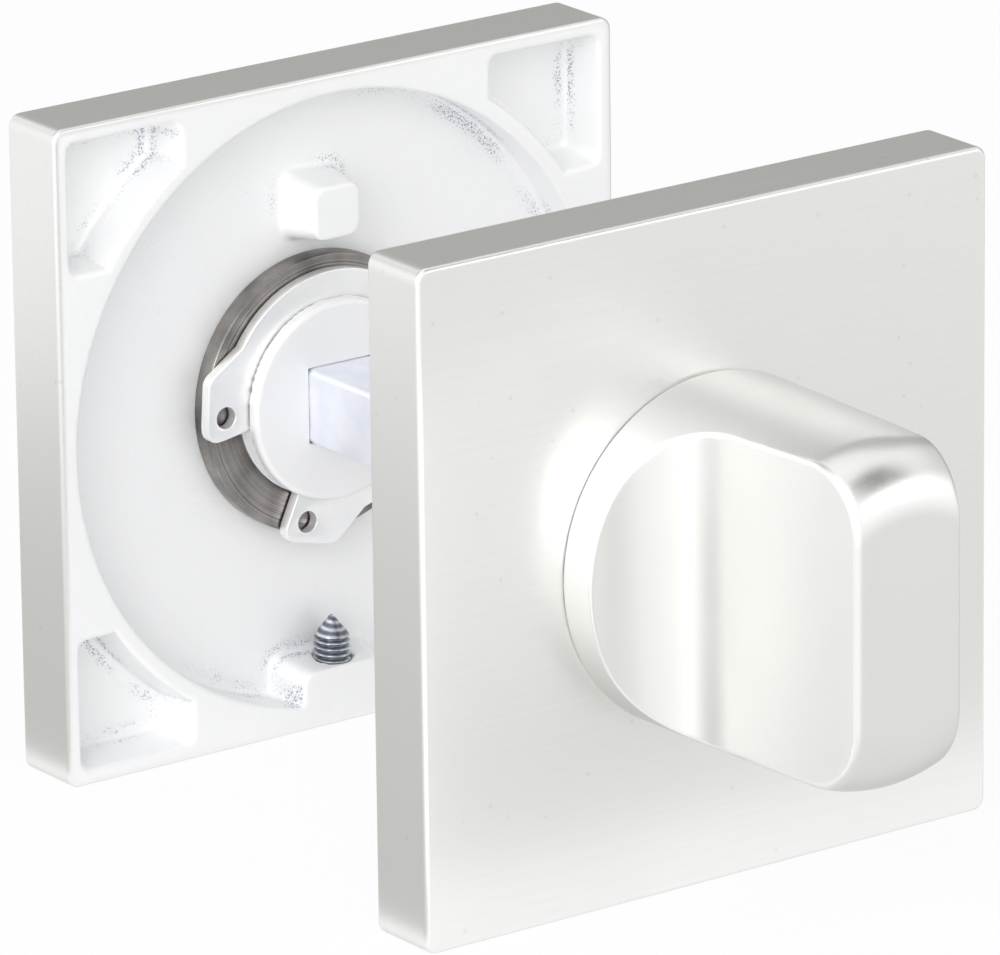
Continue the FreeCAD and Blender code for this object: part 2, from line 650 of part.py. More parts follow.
def make_spindle(label):
    """Make the square spindle that reaches from one socket through the door into the other."""
    body = new_body(label)
    start = TURN_SOCKET_DEPTH + " - sizes.spindle_end_play"
    reach = "sizes.door_thickness + " + BUTTON_SOCKET_DEPTH + " - sizes.spindle_end_play"
    sketch = new_sketch(body, "spindle_outline", "XZ_Plane", start)
    draw_square(sketch, "sizes.spindle_width")
    bar = extrude(body, "Pad", "bar", sketch, start + " + " + reach, reverse=True)
    bevelled = dress_edges(
        body, "Chamfer", "spindle_edges", bar, "sizes.spindle_bevel", lambda edge: runs_along(edge, AXIS)
    )
    ends = (number(start), -number(reach))
    dress_edges(
        body, "Chamfer", "spindle_ends", bevelled, "sizes.spindle_end_bevel",
        lambda edge: any(lies_at_depth(edge, depth) for depth in ends),
    )
    return body


def make_half(side, make_head, head_label):
    """Make the five pieces of one half, all drawn for the thumb turn side of the door."""
    return [
        make_rose(side + "_rose"),
        make_head(head_label),
        make_bush(side + "_bush"),
        make_circlip(side + "_circlip"),
        make_grub_screw(side + "_grub_screw"),
    ]


def turn_to_release_side(body):
    """Turn a piece about Z onto the other face of the door."""
    body.Placement = Placement(Vector(0, 0, 0), Rotation(Vector(0, 0, 1), 180.0))
    body.setExpression("Placement.Base.y", "sizes.door_thickness")


def check_pieces(pieces):
    """Stop if any object of the document failed or a piece is not one valid solid."""
    for item in doc.Objects:
        if {"Invalid", "Error"} & set(item.State):
            raise RuntimeError("failed: " + item.Name)
    for piece in pieces:
        shape = piece.Shape
        if shape.isNull() or not shape.isValid() or len(shape.Solids) != 1:
            raise RuntimeError("not one valid solid: " + piece.Label)


def write_pieces(pieces):
    """Write each piece to a file that has its label as name."""
    os.makedirs("parts", exist_ok=True)
    for piece in pieces:
        piece.Shape.exportStep("parts/" + piece.Label + ".step")
        print(piece.Label, round(piece.Shape.Volume, 2))


sheet = make_sheet()
turn_half = make_half("turn", make_thumb_turn, "thumb_turn")
release_half = make_half("release", make_release_button, "release_button")
for half_piece in release_half:
    turn_to_release_side(half_piece)
all_pieces = turn_half + release_half + [make_spindle("spindle")]
doc.recompute()
check_pieces(all_pieces)
write_pieces(all_pieces)
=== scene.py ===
import logging
import math
from dataclasses import dataclass
from enum import Enum
from typing import Callable, Sequence

import bmesh
import bpy
import numpy as np
from mathutils import Matrix, Vector


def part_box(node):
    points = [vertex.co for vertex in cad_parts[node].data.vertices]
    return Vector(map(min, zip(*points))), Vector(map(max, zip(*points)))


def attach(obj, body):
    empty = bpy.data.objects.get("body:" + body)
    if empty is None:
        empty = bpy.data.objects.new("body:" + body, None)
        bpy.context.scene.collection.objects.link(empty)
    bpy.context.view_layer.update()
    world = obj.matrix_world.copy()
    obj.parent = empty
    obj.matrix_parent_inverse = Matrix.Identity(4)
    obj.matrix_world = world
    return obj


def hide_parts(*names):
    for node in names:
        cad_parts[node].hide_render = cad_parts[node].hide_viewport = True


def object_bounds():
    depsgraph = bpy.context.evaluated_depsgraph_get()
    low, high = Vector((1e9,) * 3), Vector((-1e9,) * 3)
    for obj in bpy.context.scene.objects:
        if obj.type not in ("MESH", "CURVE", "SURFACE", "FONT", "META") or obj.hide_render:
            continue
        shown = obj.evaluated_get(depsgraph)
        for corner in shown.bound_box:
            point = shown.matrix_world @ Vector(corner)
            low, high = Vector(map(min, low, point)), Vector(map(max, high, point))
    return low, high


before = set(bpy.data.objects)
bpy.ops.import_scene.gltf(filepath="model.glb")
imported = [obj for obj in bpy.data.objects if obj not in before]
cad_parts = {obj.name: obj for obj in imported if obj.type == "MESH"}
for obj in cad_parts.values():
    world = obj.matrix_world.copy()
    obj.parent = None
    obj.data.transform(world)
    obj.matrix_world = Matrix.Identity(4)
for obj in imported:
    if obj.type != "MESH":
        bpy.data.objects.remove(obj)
CAD_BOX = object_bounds()

# A bathroom thumb turn lock: two square roses that face each other across the door, a thumb turn on
# one, a coin slot button on the other, and a square spindle between them. Sizes are in millimetres.
# A piece is drawn across, deep and up from its own door face, and then placed in the shared frame.

MILLIMETRE = 0.001
FULL_TURN = 2.0 * math.pi
DOOR_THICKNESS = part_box("release_rose")[0].y / MILLIMETRE

# Number of chords in a rounded corner, and the largest share of a side that its rounding takes up.
CORNER_CHORDS = 5
CORNER_SHARE = 0.45

# Edges over this many degrees stay sharp on turned, stamped and drawn pieces.
SHARP_ANGLE = 30.0

# The four cells round a grid line, in order, as steps back along the other two axes.
CELLS_ROUND_LINE = ((1, 1), (0, 1), (0, 0), (1, 0))

# The span that most of a cloudy pattern lies in.
CLOUD_SPAN = (0.3, 0.7)
WHITE = (1.0, 1.0, 1.0, 1.0)

Array = np.ndarray
Solid = Callable[[Array], Array]
Pair = tuple[float, float]
Triple = tuple[float, float, float]
Colour = Triple
Material = bpy.types.Material
Mesh = bpy.types.Mesh
Socket = bpy.types.NodeSocket

log = logging.getLogger("thumb_turn_lock")


class Side(Enum):
    """The two faces of the door."""

    TURN = "turn"
    RELEASE = "release"

    def place(self, points: Array) -> Array:
        """Take points from this door face into the shared frame.

        Args:
            points: Rows of across, deep and up in millimetres.

        Returns:
            Rows of x, y and z in metres.
        """
        across, deep, up = points.T
        if self is Side.TURN:
            return np.stack([across, -deep, up], axis=1) * MILLIMETRE
        return np.stack([-across, DOOR_THICKNESS + deep, up], axis=1) * MILLIMETRE


class Body(Enum):
    """The bodies of the frame that pieces ride on."""

    ROSES = "roses"
    TURNING_SET = "turning_set"


class Ends(Enum):
    """What becomes of the first and the last ring of a piece that is built from rings."""

    JOINED = "joined to each other"
    CAPPED = "capped"


class Stand(Enum):
    """How a card of the studio is set up."""

    FACING = "facing the object"
    LYING = "lying flat"
    UPRIGHT = "upright, along the roses"


def rounded_meet(first: Array, second: Array, radius: float | Array) -> Array:
    """Keep what lies inside both solids, given as distances, and round the edge where they meet."""
    over = np.hypot(np.maximum(first + radius, 0.0), np.maximum(second + radius, 0.0))
    return np.minimum(-radius, np.maximum(first, second)) + over


def rounded_cut(solid: Array, tool: Array, radius: float | Array) -> Array:
    """Cut a tool out of a solid, both given as distances, and round the edge of the cut."""
    return rounded_meet(solid, -tool, radius)


def rounded_square(across: Array, up: Array, half: float | Array, radius: float) -> Array:
    """Measure the distance to the outline of a square with round corners.

    Args:
        across: Places across.
        up: Places up.
        half: Half of the square's side.
        radius: Radius of its corners.

    Returns:
        Distances, negative inside.
    """
    past_across = np.abs(across) - half + radius
    past_up = np.abs(up) - half + radius
    outside = np.hypot(np.maximum(past_across, 0.0), np.maximum(past_up, 0.0))
    return outside + np.minimum(np.maximum(past_across, past_up), 0.0) - radius


def lean(angle: float) -> float:
    """Give the sideways step of a wall for each millimetre of depth, from its draft in degrees."""
    return math.tan(math.radians(angle))


@dataclass(frozen=True)
class Grid:
    """The spacing of a mesher's lines along one axis.

    Attributes:
        step: Usual spacing.
        fine: Spacing near the edges that need closer lines.
        margin: How far the lines start and end outside the piece.
        near: How many usual steps count as near an edge.
    """

    step: float
    fine: float
    margin: float
    near: float = 2.0

    def lines(self, low: float, high: float, edges: Sequence[float]) -> Array:
        """Lay the lines.

        Args:
            low: The piece's lowest place.
            high: Its highest place.
            edges: Places of the edges.

        Returns:
            The places of the lines.
        """
        lines = [low - self.margin]
        while lines[-1] < high + self.margin:
            away = min(abs(lines[-1] - edge) for edge in edges)
            lines.append(lines[-1] + (self.fine if away < self.near * self.step else self.step))
        return np.array(lines)


@dataclass
class CastMesher:
    """Turns a solid given by distances into a mesh with soft edges.

    Attributes:
        lines: Grid lines across, deep and up.
        flat_angle: Neighbouring faces that differ by less, in degrees, become one face.
        probe: Step with which slopes are measured.
        reach: Longest move of a vertex onto the surface.
        moves: Number of such moves.
        least_slope: Smallest squared slope that a move is divided by.
    """

    lines: tuple[Array, Array, Array]
    flat_angle: float = 0.12
    probe: float = 0.004
    reach: float = 0.2
    moves: int = 4
    least_slope: float = 0.2

    def slope(self, solid: Solid, points: Array) -> Array:
        """Measure how the distance grows round each point.

        Args:
            solid: The distances.
            points: Rows of points.

        Returns:
            One slope for each point.
        """
        steps = np.eye(3) * self.probe
        sides = [solid(points + step) - solid(points - step) for step in steps]
        return np.stack(sides, axis=1) / (2.0 * self.probe)

    def outward(self, solid: Solid, points: Array) -> Array:
        """Give the outward direction of the surface at each point, as rows of unit vectors."""
        slope = self.slope(solid, points)
        return slope / np.linalg.norm(slope, axis=1, keepdims=True)

    def net(self, solid: Solid) -> tuple[Array, Array]:
        """Put one vertex in every cell that the surface crosses, and join them with quads.

        Args:
            solid: The distances.

        Returns:
            The vertices and the quads.
        """
        grid = np.stack(np.meshgrid(*self.lines, indexing="ij"), axis=-1)
        values = solid(grid.reshape(-1, 3)).reshape(grid.shape[:3])
        cells = tuple(count - 1 for count in values.shape)
        total = np.zeros((math.prod(cells), 3))
        count = np.zeros(math.prod(cells))
        quads = []
        for axis in range(3):
            others = [other for other in range(3) if other != axis]
            turned = np.moveaxis(values, axis, 0)
            low, high = turned[:-1], turned[1:]
            at = np.nonzero((low < 0) != (high < 0))
            share = low[at] / (low[at] - high[at])
            point = np.zeros((len(share), 3))
            line = self.lines[axis]
            point[:, axis] = line[at[0]] + share * (line[at[0] + 1] - line[at[0]])
            point[:, others[0]] = self.lines[others[0]][at[1]]
            point[:, others[1]] = self.lines[others[1]][at[2]]
            corners = []
            for back, down in CELLS_ROUND_LINE:
                index = [at[0]] * 3
                index[others[0]] = at[1] - back
                index[others[1]] = at[2] - down
                cell = np.ravel_multi_index(index, cells)
                np.add.at(total, cell, point)
                np.add.at(count, cell, 1.0)
                corners.append(cell)
            faces = np.stack(corners, axis=1)
            turn_over = (low[at] < 0) == (axis == 1)
            faces[turn_over] = faces[turn_over][:, ::-1]
            quads.append(faces)
        used = np.nonzero(count)[0]
        order = np.zeros(len(count), dtype=int)
        order[used] = np.arange(len(used))
        return total[used] / count[used][:, None], order[np.concatenate(quads)]

    def settle(self, solid: Solid, points: Array) -> Array:
        """Move points onto the surface.

        Args:
            solid: The distances.
            points: Rows of points near the surface.

        Returns:
            Rows of points on the surface.
        """
        for _ in range(self.moves):
            slope = self.slope(solid, points)
            steep = np.maximum((slope**2).sum(axis=1), self.least_slope)
            move = np.clip(solid(points) / steep, -self.reach, self.reach)
            points = points - move[:, None] * slope
        return points

    def mesh(self, name: str, solid: Solid, side: Side) -> tuple[Mesh, Array]:
        """Make the mesh, with level stretches joined and the surface's own normals.

        Args:
            name: The mesh's name.
            solid: The distances.
            side: The door face that it belongs to.

        Returns:
            The mesh, and its vertices as drawn from the door face.
        """
        points, quads = self.net(solid)
        points = self.settle(solid, points)
        work = bmesh.new()
        corners = [work.verts.new(point) for point in points]
        for quad in quads:
            work.faces.new([corners[index] for index in quad])
        bmesh.ops.dissolve_limit(
            work, angle_limit=math.radians(self.flat_angle), verts=work.verts, edges=work.edges
        )
        drawn = np.array([vertex.co for vertex in work.verts])
        outward = self.outward(solid, drawn)
        placed = side.place(drawn)
        for vertex, place in zip(work.verts, placed):
            vertex.co = place
        bmesh.ops.reverse_faces(work, faces=work.faces)
        mesh = bpy.data.meshes.new(name)
        work.to_mesh(mesh)
        work.free()
        mesh.shade_smooth()
        ends = side.place(drawn + outward) - placed
        mesh.normals_split_custom_set_from_vertices(ends / np.linalg.norm(ends, axis=1, keepdims=True))
        return mesh, drawn


def round_corners(points: Sequence[Pair], radius: float) -> list[Pair]:
    """Round every corner of a closed outline.

    Args:
        points: The corners.
        radius: Radius of the rounding, less where a side is too short for it.

    Returns:
        The rounded outline.
    """
    outline = []
    for index, point in enumerate(points):
        here = Vector(point)
        before = Vector(points[index - 1]) - here
        after = Vector(points[(index + 1) % len(points)]) - here
        half = before.angle(after) / 2.0
        run = min(radius / math.tan(half), CORNER_SHARE * before.length, CORNER_SHARE * after.length)
        start, end = here + before.normalized() * run, here + after.normalized() * run
        for step in range(CORNER_CHORDS + 1):
            share = step / CORNER_CHORDS
            outline.append(tuple(start.lerp(here, share).lerp(here.lerp(end, share), share)))
    return outline


def make_mesh(name: str, points: Array, faces: Sequence[Sequence[int]], side: Side) -> Mesh:
    """Make a mesh whose corners stay sharp.

    Args:
        name: The mesh's name.
        points: Rows of points drawn from the door face.
        faces: The faces, in any direction.
        side: The door face that it belongs to.

    Returns:
        The mesh.
    """
    mesh = bpy.data.meshes.new(name)
    mesh.from_pydata(side.place(points).tolist(), [], faces)
    work = bmesh.new()
    work.from_mesh(mesh)
    bmesh.ops.recalc_face_normals(work, faces=work.faces)
    work.to_mesh(mesh)
    work.free()
    mesh.shade_smooth()
    mesh.set_sharp_from_angle(angle=math.radians(SHARP_ANGLE))
    return mesh


def ring_faces(rings: int, around: int, ends: Ends) -> list[list[int]]:
    """Join rings of points with quads.

    Args:
        rings: Number of rings.
        around: Number of points in each ring.
        ends: What becomes of the first and the last ring.

    Returns:
        The faces.
    """
    faces = []
    for ring in range(rings if ends is Ends.JOINED else rings - 1):
        here, after = ring * around, (ring + 1) % rings * around
        for step in range(around):
            onward = (step + 1) % around
            faces.append([here + step, here + onward, after + onward, after + step])
    if ends is Ends.CAPPED:
        faces.append(list(range(around)))
        faces.append(list(range((rings - 1) * around, rings * around)))
    return faces


def mark(mesh: Mesh, name: str, values: Array) -> None:
    """Give each vertex of a mesh a value that its finish reads."""
    mesh.attributes.new(name, "FLOAT", "POINT").data.foreach_set("value", values)


def add_piece(mesh: Mesh, node: str, body: Body, material: Material) -> None:
    """Put a finished mesh into the scene in the place of a node of the frame.

    Args:
        mesh: The mesh, in the shared frame.
        node: The node that it stands for.
        body: The body that it rides on.
        material: Its finish.
    """
    piece = bpy.data.objects.new(mesh.name, mesh)
    bpy.context.scene.collection.objects.link(piece)
    mesh.materials.append(material)
    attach(piece, body.value)
    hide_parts(node)
    log.info("%s: %d faces, rides on %s", piece.name, len(mesh.polygons), body.value)


class NodeGraph:
    """A node tree, with short calls that add nodes to it."""

    def __init__(self, tree: bpy.types.NodeTree) -> None:
        """Take up a node tree."""
        self.tree = tree

    def feed(self, node: bpy.types.Node, inputs: dict) -> None:
        """Fill a node's inputs with values or with other nodes' outputs.

        Args:
            node: The node.
            inputs: Values or sockets by the input's name or number.
        """
        for key, value in inputs.items():
            if isinstance(value, Socket):
                self.tree.links.new(value, node.inputs[key])
            else:
                node.inputs[key].default_value = value

    def put(self, kind: str, inputs: dict, output: str | int = 0, **settings: object) -> Socket:
        """Add a node, fill its inputs and pick one of its outputs.

        Args:
            kind: The node's type.
            inputs: Values or sockets by the input's name or number.
            output: The output's name or number.
            settings: The node's properties.

        Returns:
            The output.
        """
        node = self.tree.nodes.new(kind)
        for key, value in settings.items():
            setattr(node, key, value)
        self.feed(node, inputs)
        return node.outputs[output]

    def math(self, operation: str, *values: object) -> Socket:
        """Give the result of an operation on numbers or sockets."""
        return self.put("ShaderNodeMath", dict(enumerate(values)), operation=operation)

    def seen_directly(self) -> Socket:
        """Tell camera, glossy and transmission rays from the others.

        Returns:
            1 for those rays and 0 for the others.
        """
        rays = self.tree.nodes.new("ShaderNodeLightPath").outputs
        mirrored = self.math("MAXIMUM", rays["Is Glossy Ray"], rays["Is Transmission Ray"])
        return self.math("MAXIMUM", rays["Is Camera Ray"], mirrored)

    def show_either(self, share: Socket, first: Socket, second: Socket, output: str) -> None:
        """Send two shaders to the named output node, mixed by the share of the second one."""
        mixed = self.put("ShaderNodeMixShader", {0: share, 1: first, 2: second})
        self.feed(self.tree.nodes[output], {"Surface": mixed})


class FinishGraph(NodeGraph):
    """The nodes of one finish, with short calls for the patterns that finishes need."""

    def __init__(self, name: str) -> None:
        """Start a material whose shader waits for its inputs.

        Args:
            name: The material's name.
        """
        self.material = bpy.data.materials.new(name)
        self.material.use_nodes = True
        super().__init__(self.material.node_tree)
        self.shader = self.tree.nodes["Principled BSDF"]
        self.places = self.put("ShaderNodeTexCoord", {}, "Object")

    def stretched(self, per_metre: Triple) -> Socket:
        """Give the piece's own places, scaled along x, y and z."""
        inputs = {"Vector": self.places, "Scale": per_metre}
        return self.put("ShaderNodeMapping", inputs, "Vector", vector_type="POINT")

    def cloud(self, per_metre: Triple, detail: float = 3.0) -> Socket:
        """Give a cloudy pattern from 0 to 1, by its cells per metre and its number of finer layers."""
        inputs = {"Vector": self.stretched(per_metre), "Scale": 1.0, "Detail": detail}
        return self.put("ShaderNodeTexNoise", inputs, "Fac")

    def even_cloud(self, per_metre: float, detail: float = 3.0) -> Socket:
        """Give a cloudy pattern that has the same number of cells along all three axes."""
        return self.cloud((per_metre, per_metre, per_metre), detail)

    def dots(self, per_metre: float) -> Socket:
        """Give the distance to the nearest of many scattered points, by their number per metre."""
        inputs = {"Vector": self.places, "Scale": per_metre}
        return self.put("ShaderNodeTexVoronoi", inputs, "Distance", feature="F1")

    def attribute(self, name: str) -> Socket:
        """Read a value that a piece's mesh carries."""
        return self.put("ShaderNodeAttribute", {}, "Fac", attribute_name=name)

    def span(self, value: Socket, old: Pair, new: Pair = (0.0, 1.0)) -> Socket:
        """Carry a value from an old span to a new one, and hold it at the ends."""
        inputs = {0: value, 1: old[0], 2: old[1], 3: new[0], 4: new[1]}
        return self.put("ShaderNodeMapRange", inputs, clamp=True)

    def vary(self, pattern: Socket, middle: float, less: float, more: float) -> Socket:
        """Let a value go with a cloudy pattern, from less to more than its middle."""
        return self.span(pattern, CLOUD_SPAN, (middle - less, middle + more))

    def weigh(self, first: Socket, share: float, second: Socket) -> Socket:
        """Add up two patterns, by the share of the first one."""
        return self.math("MULTIPLY_ADD", first, share, self.math("MULTIPLY", second, 1.0 - share))

    def blend(self, share: Socket, first: Colour | Socket, second: Colour | Socket) -> Socket:
        """Blend two colours, by the share of the second one."""
        pair = [part if isinstance(part, Socket) else (*part, 1.0) for part in (first, second)]
        return self.put("ShaderNodeMix", {0: share, 6: pair[0], 7: pair[1]}, 2, data_type="RGBA")

    def bump(self, height: Socket, depth: float, over: Socket | None = None) -> Socket:
        """Turn a height into a relief.

        Args:
            height: The height, from 0 to 1.
            depth: Depth of the relief in millimetres.
            over: A relief that it lies on.

        Returns:
            The relief's normals.
        """
        inputs = {"Height": height, "Strength": 1.0, "Distance": depth * MILLIMETRE}
        if over is not None:
            inputs["Normal"] = over
        return self.put("ShaderNodeBump", inputs, "Normal")


@dataclass(frozen=True)
class BrushedRoseFinish:
    """Satin nickel on a die casting: brushed in front, left as cast inside.

    Attributes:
        fine_strokes: Cells per metre of the fine brushing along x, y and z.
        broad_strokes: The same for the broad brushing.
        broad_share: Share of the broad brushing.
        specks: Specks per metre on the brushed face, and speck_tone is how dark they are.
        patches: Cells per metre of the patches that grit gathers in.
        grains: Cells per metre of the grit, which is thicker by thicker_grit in inner corners.
        loose_grit: How dark the grit is that lies elsewhere.
        skin: Cells per metre of the casting's skin.
        brush_depth: Depth of the brushing in millimetres.
        skin_depth: Depth of the skin in millimetres.
    """

    name: str = "satin_nickel_brushed"
    face: Colour = (0.93, 0.93, 0.92)
    streak: Colour = (0.905, 0.905, 0.895)
    cast: Colour = (0.93, 0.932, 0.935)
    pore: Colour = (0.34, 0.39, 0.50)
    edge_tint: Colour = (0.75, 0.75, 0.74)
    face_roughness: float = 0.36
    cast_roughness: float = 0.55
    cast_metal: float = 0.35
    fine_strokes: Triple = (160.0, 9000.0, 14000.0)
    broad_strokes: Triple = (40.0, 1800.0, 3000.0)
    broad_share: float = 0.45
    specks: float = 420.0
    speck_tone: float = 0.1375
    patches: float = 120.0
    grains: float = 6500.0
    thicker_grit: float = 0.1
    loose_grit: float = 0.45
    skin: float = 1300.0
    brush_depth: float = 0.0012
    skin_depth: float = 0.02

    def grit(self, graph: FinishGraph) -> Socket:
        """Scatter grit in the casting's inner corners, and a little of it elsewhere.

        Args:
            graph: The finish's nodes.

        Returns:
            How much grit lies at a place, from 0 to 1.
        """
        patches = graph.even_cloud(self.patches)
        corner = graph.span(graph.attribute("crevice"), (0.2, 0.55))
        corner = graph.math("MULTIPLY", corner, graph.span(patches, (0.44, 0.58)))
        grains = graph.even_cloud(self.grains, 2.0)
        grains = graph.math("MULTIPLY_ADD", corner, self.thicker_grit, grains)
        loose = graph.span(patches, (0.56, 0.74), (0.0, self.loose_grit))
        place = graph.math("MAXIMUM", corner, loose)
        return graph.math("MULTIPLY", graph.span(grains, (0.60, 0.72)), place)

    def build(self) -> Material:
        """Make the material.

        Returns:
            The material.
        """
        graph = FinishGraph(self.name)
        inside = graph.attribute("as_cast")
        fine = graph.cloud(self.fine_strokes, 2.0)
        streaks = graph.weigh(graph.cloud(self.broad_strokes, 2.0), self.broad_share, fine)
        speck = graph.span(graph.dots(self.specks), (0.05, 0.09), (self.speck_tone, 0.0))
        grit = self.grit(graph)
        skin = graph.even_cloud(self.skin, 4.0)
        brushed = graph.blend(graph.span(streaks, (0.35, 0.65)), self.face, self.streak)
        brushed = graph.blend(speck, brushed, self.pore)
        cast = graph.blend(grit, self.cast, self.pore)
        rough_face = graph.vary(streaks, self.face_roughness, 0.05, 0.05)
        rough_cast = graph.vary(skin, self.cast_roughness, 0.06, 0.08)
        rougher = graph.math("SUBTRACT", rough_cast, rough_face)
        brush_height = graph.math("MULTIPLY", streaks, graph.math("SUBTRACT", 1.0, inside))
        cast_height = graph.math("MULTIPLY", graph.math("SUBTRACT", skin, grit), inside)
        brush_relief = graph.bump(brush_height, self.brush_depth)
        inputs = {
            "Base Color": graph.blend(inside, brushed, cast),
            "Metallic": graph.span(inside, (0.0, 1.0), (1.0, self.cast_metal)),
            "Roughness": graph.math("MULTIPLY_ADD", inside, rougher, rough_face),
            "Specular Tint": (*self.edge_tint, 1.0),
            "Normal": graph.bump(cast_height, self.skin_depth, brush_relief),
        }
        graph.feed(graph.shader, inputs)
        return graph.material


@dataclass(frozen=True)
class SatinFinish:
    """Satin nickel on the pieces that a hand turns: even, with a very fine grain.

    Attributes:
        grain: Cells per metre of the grain.
        clouds: Cells per metre of the slow changes in tone.
        shank_rougher: How much rougher the hidden shank is.
        grain_depth: Depth of the grain in millimetres.
    """

    name: str = "satin_nickel_fine"
    colour: Colour = (0.93, 0.93, 0.92)
    shade: Colour = (0.91, 0.91, 0.90)
    edge_tint: Colour = (0.66, 0.66, 0.65)
    shank: Colour = (0.92, 0.92, 0.925)
    roughness: float = 0.33
    shank_rougher: float = 0.2
    shank_metal: float = 0.5
    grain: float = 5200.0
    clouds: float = 110.0
    grain_depth: float = 0.0015

    def build(self) -> Material:
        """Make the material.

        Returns:
            The material.
        """
        graph = FinishGraph(self.name)
        grain = graph.even_cloud(self.grain, 2.0)
        mixed = graph.weigh(graph.even_cloud(self.clouds), 0.5, grain)
        colour = graph.blend(graph.span(mixed, (0.35, 0.65)), self.colour, self.shade)
        hidden = graph.attribute("as_cast")
        roughness = graph.vary(mixed, self.roughness, 0.04, 0.05)
        inputs = {
            "Base Color": graph.blend(hidden, colour, self.shank),
            "Metallic": graph.span(hidden, (0.0, 1.0), (1.0, self.shank_metal)),
            "Roughness": graph.math("MULTIPLY_ADD", hidden, self.shank_rougher, roughness),
            "Specular Tint": (*self.edge_tint, 1.0),
            "Normal": graph.bump(grain, self.grain_depth),
        }
        graph.feed(graph.shader, inputs)
        return graph.material


@dataclass(frozen=True)
class TurnedSteelFinish:
    """Dark turned steel, with the rings that the lathe left.

    Attributes:
        rings: Rings per metre, outward from the axis.
        ring_share: Share of the rings in the tone, which stains make up otherwise.
        stains: Cells per metre of the stains.
        stretch: How far the rings draw a highlight out, and stretch_turn is its direction.
        ring_depth: Depth of the rings in millimetres.
    """

    name: str = "dark_steel_turned"
    colour: Colour = (0.41, 0.385, 0.37)
    dark: Colour = (0.11, 0.105, 0.10)
    roughness: float = 0.30
    rings: float = 7000.0
    ring_share: float = 0.4
    stains: float = 260.0
    stretch: float = 0.75
    stretch_turn: float = 0.25
    ring_depth: float = 0.006

    def build(self) -> Material:
        """Make the material.

        Returns:
            The material.
        """
        graph = FinishGraph(self.name)
        from_axis = {0: graph.stretched((1.0, 0.0, 1.0))}
        radius = graph.put("ShaderNodeVectorMath", from_axis, "Value", operation="LENGTH")
        cells = {"W": radius, "Scale": self.rings, "Detail": 3.0}
        rings = graph.put("ShaderNodeTexNoise", cells, "Fac", noise_dimensions="1D")
        stain = graph.even_cloud(self.stains, 4.0)
        share = graph.span(graph.weigh(rings, self.ring_share, stain), (0.36, 0.66))
        inputs = {
            "Base Color": graph.blend(share, self.colour, self.dark),
            "Metallic": 1.0,
            "Roughness": graph.vary(stain, self.roughness, 0.06, 0.12),
            "Anisotropic": self.stretch,
            "Anisotropic Rotation": self.stretch_turn,
            "Tangent": graph.put("ShaderNodeTangent", {}, direction_type="RADIAL", axis="Y"),
            "Normal": graph.bump(rings, self.ring_depth),
        }
        graph.feed(graph.shader, inputs)
        return graph.material


@dataclass(frozen=True)
class PlatedSteelFinish:
    """Bright plated steel with a faint tint, drawn or stamped.

    Attributes:
        grain: Cells per metre of its marks along x, y and z.
        clouds: Cells per metre of the tint.
        mark_depth: Depth of the marks in millimetres.
    """

    name: str
    colour: Colour
    tint: Colour
    grain: Triple
    roughness: float = 0.36
    metal: float = 0.7
    clouds: float = 320.0
    mark_depth: float = 0.004

    def build(self) -> Material:
        """Make the material.

        Returns:
            The material.
        """
        graph = FinishGraph(self.name)
        marks = graph.cloud(self.grain)
        share = graph.span(graph.even_cloud(self.clouds), (0.38, 0.66))
        inputs = {
            "Base Color": graph.blend(share, self.colour, self.tint),
            "Metallic": self.metal,
            "Roughness": graph.vary(marks, self.roughness, 0.06, 0.08),
            "Normal": graph.bump(marks, self.mark_depth),
        }
        graph.feed(graph.shader, inputs)
        return graph.material


@dataclass(frozen=True)
class BlackSteelFinish:
    """Blackened steel whose thread crests are rubbed bright.

    Attributes:
        grain: Cells per metre of the grain, which also breaks up the painted highlight.
        highlight_share: How much of a crest gets the painted highlight, least and most.
        crest_power: How closely the painted highlight keeps to the crests.
        grain_depth: Depth of the grain in millimetres.
    """

    name: str = "black_steel"
    colour: Colour = (0.16, 0.18, 0.22)
    # Near-white colour of the painted highlight on the thread crests.
    crest_highlight: Colour = (0.90, 0.92, 0.95)
    roughness: float = 0.34
    grain: float = 3200.0
    highlight_share: Pair = (0.4, 0.9)
    crest_power: float = 1.2
    grain_depth: float = 0.004

    def build(self) -> Material:
        """Make the material.

        Returns:
            The material.
        """
        graph = FinishGraph(self.name)
        grain = graph.even_cloud(self.grain)
        crest = graph.math("POWER", graph.attribute("crest"), self.crest_power)
        # Paint a highlight along the thread crests, broken up by the grain.
        painted_highlight = graph.math("MULTIPLY", crest, graph.span(grain, CLOUD_SPAN, self.highlight_share))
        inputs = {
            "Base Color": graph.blend(painted_highlight, self.colour, self.crest_highlight),
            "Metallic": 1.0,
            "Roughness": graph.vary(grain, self.roughness, 0.06, 0.1),
            "Normal": graph.bump(grain, self.grain_depth),
        }
        graph.feed(graph.shader, inputs)
        return graph.material


